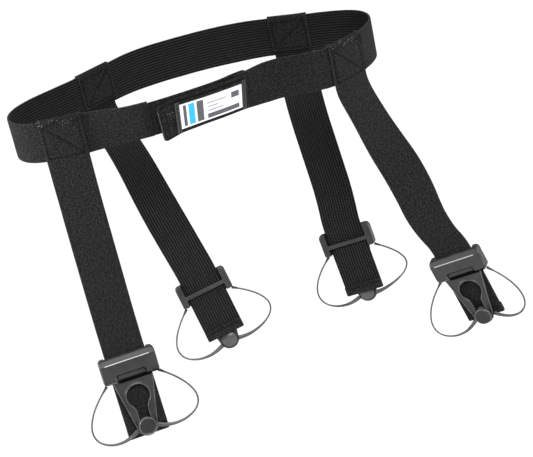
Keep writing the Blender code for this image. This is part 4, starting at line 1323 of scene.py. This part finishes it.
def make_clip(path, master, leads, mats):
    """Place the moulded clip, with pale beads of painted highlight along its ridge, rims, sides and
    keyhole, and near-black beads of painted shadow under it and round its lip.
    """
    matrix = path.slider_matrix()
    mesh = master.copy()
    mesh.name = "clip_" + path.name
    mesh.transform(matrix)
    mesh.materials.append(mats["clip"])
    mesh.shade_smooth()
    clip = add_object(mesh.name, mesh)
    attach(clip, "root")
    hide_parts("slider_" + path.name)

    pile = Pile()
    turn = np.array(matrix.to_3x3())
    shift = np.array(matrix.translation)
    forward = -turn[:, 1]

    def bead(points, radius, slot):
        spots = np.array(points) @ turn.T + shift
        radii = np.full(len(spots), radius)
        radii[0] *= 0.35
        radii[-1] *= 0.35
        pile.add_tubes(spots[None], forward[None, None], radii, slot, 8)

    def level(low, high, count, y, z):
        """Points straight across the clip, between shares of its width."""
        return [(x, y, z) for x in np.linspace(low, high, count) * SLIDER_WIDE]

    foot = -SLIDER_HIGH / 2
    front = -SLIDER_FRONT + 0.0001
    plate = -PLATE_FRONT + 0.00012
    ridge = -SLIDER_FRONT - SLIDER_RIDGE_RISE + 0.00026
    # Painted highlight: a pale bead along the ridge.
    bead(level(-RIDGE_HIGHLIGHT_LEFT, RIDGE_HIGHLIGHT_RIGHT, 24, ridge, -foot - SLIDER_RIDGE_DROP), 0.00036, 1)
    # Painted highlights: pale beads round the plate and the keyhole.
    for outline, count, radius in ((plate_outline(0.00032, 26), 90, 0.00034),
                                   (keyhole_outline(0.00030, 8), 80, 0.00032)):
        bead([(x, plate, z) for x, z in smooth_line(outline, count)], radius, 0)
    # Painted shadow: near-black beads in the gap under the slider and along its lower right rim.
    bead(level(-GAP_SHADOW_LEFT, GAP_SHADOW_RIGHT, 16, -PLATE_FRONT - 0.0001, foot - 0.0001), GAP_SHADOW_RADIUS, 2)
    bead(level(GAP_SHADOW_RIGHT, 0.47, 8, front, foot + 0.0002), 0.0005, 2)
    # Painted highlight: a pale bead along the lower left rim.
    bead(level(-0.46, -GAP_SHADOW_LEFT, 8, front, foot + 0.0003), 0.00042, 0)
    edge = LIP_WIDE / 2
    # Painted highlight: a short pale glint at the lip's left end.
    glint = np.linspace(0.0010, 0.0032, 5) + foot
    bead([(-edge - 0.0005, -SLIDER_FRONT - 0.00005, z) for z in glint], 0.00048, 0)
    for lead in leads:
        spots = np.array(lead[:LEAD_ROOT_POINTS])
        flare = np.linspace(LEAD_ROOT, LEAD_WIDE / 2, len(spots))
        pile.add_tubes(spots[None], forward[None, None], flare, 3, 8)
    # Painted shadow: a near-black bead in the groove round the lip.
    half = [(edge, -0.55 * LIP_HIGH), (edge - 0.0006, -0.0008), (edge - 0.0016, 0.0)]
    groove_shade = refine_path([(-x, z) for x, z in half] + half[::-1], 0.0004)
    lip = -SLIDER_FRONT - SLIDER_RIDGE_RISE * 0.35 + 0.00018
    bead([(x, lip, LIP_HIGH + foot + z) for x, z in groove_shade], 0.00022, 2)
    # Painted highlights: pale beads down both side edges.
    for x in (-SLIDER_WIDE / 2 + 0.0004, SLIDER_WIDE / 2 - 0.0004):
        wall = np.linspace(-0.38, 0.34, 12) * SLIDER_HIGH
        bead([(x, front, z) for z in wall], 0.00030, 0)
    trim = pile.build("clip_painted_light_" + path.name,
                      (mats["clip_highlight"], mats["ridge"], mats["shadow"], mats["clip"]))


def refine_path(points, step):
    """Add points along a bent line so that none is further apart than a step."""
    out = []
    for a, b in zip(points[:-1], points[1:]):
        count = max(int(math.dist(a, b) / step), 1)
        out.extend(tuple(np.array(a) + (np.array(b) - a) * k / count) for k in range(count))
    return out + [points[-1]]


def lathe(profile, sides):
    """Turn a profile of (radius, height) round the vertical axis."""
    turn = 2 * math.pi * np.arange(sides) / sides
    points = [(r * math.cos(a), r * math.sin(a), z) for r, z in profile for a in turn]
    ids = np.arange(len(points)).reshape(len(profile), sides)
    turned = np.roll(ids, -1, axis=1)
    quads = np.stack([ids[:-1], turned[:-1], turned[1:], ids[1:]], axis=-1).reshape(-1, 4)
    return points, quads, ids


def make_button(path, mats):
    """Make the button: a dished head with a round rim, its neck and its flat foot, the dish painted
    dark as shade and the rest painted pale as highlight.
    """
    head = BUTTON_WIDE / 2
    neck = BUTTON_NECK / 2
    foot = BUTTON_FOOT / 2
    front = PLATE_FRONT + GAP
    rear = WEBBING_THICK / 2 + GAP
    crown = front + BUTTON_HEAD
    profile = [
        (0.00004, crown - 0.00034), (head * 0.30, crown - 0.00034),
        (head * 0.64, crown - 0.00034), (head * 0.82, crown - 0.00030),
        (head * 0.86, crown - 0.00020), (head * 0.89, crown - 0.00008),
        (head * 0.915, crown - 0.00003), (head * 0.95, crown - 0.00014),
        (head * 0.98, crown - 0.00045), (head, crown - 0.00095), (head, front + 0.0006),
        (head * 0.985, front + 0.0002), (head * 0.94, front), (neck + 0.0002, front),
        (neck, front - 0.0001), (neck, FOOT_FRONT + 0.0001), (neck + 0.0001, FOOT_FRONT),
        (foot - 0.0002, FOOT_FRONT), (foot, FOOT_FRONT - 0.0002), (foot, rear + 0.0002),
        (foot - 0.0002, rear), (0.00004, rear),
    ]
    points, quads, ids = lathe(profile, KNOB_SIDES)
    place = Matrix.Translation((0.0, 0.0, -BUTTON_DROP)) @ Matrix.Rotation(math.pi / 2, 4, "X")
    matrix = path.slider_matrix() @ place
    pile = Pile()
    # The dish takes the darker plastic as painted shade; the rest of the button takes the pale clip
    # plastic as painted highlight.
    dish = DISH_RINGS * KNOB_SIDES
    spots = [tuple(matrix @ Vector(p)) for p in points]
    pile.add(spots, [quads[dish:], ids[-1:, ::-1], quads[:dish], ids[:1]], (0, 0, 1, 1))
    button = pile.build("knob_" + path.name, (mats["clip_highlight"], mats["knob"]), 50)
    fix_normals(button)
    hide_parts("button_" + path.name)


def make_wings(path, leads, mats):
    """Make the flat arms that join the button's foot to its two leads."""
    pile = Pile()
    matrix = path.slider_matrix()
    forward = -np.array(matrix.to_3x3())[:, 1]
    for lead in leads:
        tail = lead[::-1][:22]
        run = np.concatenate([[0.0], np.cumsum(np.linalg.norm(np.diff(tail, axis=0), axis=1))])
        share = run / run[-1]
        radii = LEAD_WIDE / 2 * 1.08 + 0.00085 * (1 - share) ** 1.3
        radii[-1] = LEAD_WIDE / 2 * 0.9
        pile.add_tubes(tail[None], forward[None, None], radii, 0, 14, flat=0.42)
    obj = pile.build("button_arms_" + path.name, (mats["lead"],))
    return obj


def add_lamp(name, kind, place, aim, strength, **sizes):
    """Add a lamp that looks at a point."""
    data = bpy.data.lights.new(name, kind)
    data.energy = strength
    for key, value in sizes.items():
        setattr(data, key, value)
    lamp = add_object(name, data)
    lamp.location = place
    lamp.visible_camera = False
    lamp.rotation_euler = (Vector(aim) - Vector(place)).to_track_quat("-Z", "Y").to_euler()


def make_studio(mats):
    """Pale floor, white surroundings and soft lamps."""
    world = bpy.data.worlds.new("studio")
    world.use_nodes = True
    world.node_tree.nodes["Background"].inputs[0].default_value = (1.0, 1.0, 1.0, 1.0)
    world.node_tree.nodes["Background"].inputs[1].default_value = WORLD_STRENGTH
    bpy.context.scene.world = world
    bpy.context.scene.view_settings.view_transform = "Standard"
    mesh = bpy.data.meshes.new("floor")
    reach = 12.0
    mesh.from_pydata([(-reach, -reach, FLOOR_HEIGHT), (reach, -reach, FLOOR_HEIGHT),
                      (reach, reach, FLOOR_HEIGHT), (-reach, reach, FLOOR_HEIGHT)], [],
                     [(0, 1, 2, 3)])
    mesh.materials.append(mats["floor"])
    add_object("floor", mesh)
    middle = (0.0, 0.0, -0.05)
    add_lamp("key", "SUN", (0.14, -0.66, 0.75), middle, SUN_STRENGTH, angle=math.radians(35))
    add_lamp("left_rim", "AREA", (-0.42, -0.06, 0.0), (0.0, -0.06, 0.0), LEFT_POWER,
             shape="RECTANGLE", size=0.30, size_y=0.06)
    add_lamp("right_rim", "AREA", (0.42, -0.10, 0.0), (0.0, -0.10, 0.0), RIGHT_POWER,
             shape="RECTANGLE", size=0.30, size_y=0.06)


def main():
    """Build every piece of the visible belt."""
    make_camera()
    mats = make_materials()
    step = CLOSURE_STEP / 2
    band_line = PlanLine(WAIST_PLAN, WAIST_STEPS * 2 + 1, ((0.0, step), (1.0, -step)), WAIST_LEAN)
    paths = [StrapPath(row, band_line) for row in STRAP_TABLE]
    leads = {}
    for path in paths:
        for strap, word, side, wide, low in LEAD_TABLE:
            if strap == path.name:
                leads[path.name, word] = make_lead(path, word, side, wide, low, mats["lead"])
    make_band(band_line, mats)
    master = soft_clip(paths[0])
    for path in paths:
        make_strap(path, mats)
        make_stitches(path, mats)
        wires = [leads[path.name, word] for word in ("left", "right")]
        make_clip(path, master, [wire[1] for wire in wires], mats)
        make_button(path, mats)
        arms = make_wings(path, [wire[1] for wire in wires], mats)
        for wire, points, length in wires:
            tuple(points[0])
    make_fuzz(paths[0], mats)
    make_fuzz(paths[3], mats)

    loop_lift = step - LOOP_TAB_DROP
    hook_lifts = ((0.0, -step), (DROOP_START, -step), (1.0, -step - HOOK_TAB_DROOP))
    loop_line = PlanLine(LOOP_TAB_PLAN, 45, ((0.0, loop_lift), (1.0, loop_lift)), LOOP_TAB_LEAN)
    hook_line = PlanLine(HOOK_TAB_PLAN, 45, hook_lifts, HOOK_TAB_LEAN)
    make_tab("tab_inner", "loop_tab", loop_line, 0, 0.0, mats)
    make_tab("tab_outer", "hook_tab", hook_line, 1, TAB_SLANT, mats)
    make_tab_stitches(hook_line, loop_line, band_line, mats)
    make_pocket(hook_line, mats)
    make_card(hook_line, mats)
    make_studio(mats)


main()
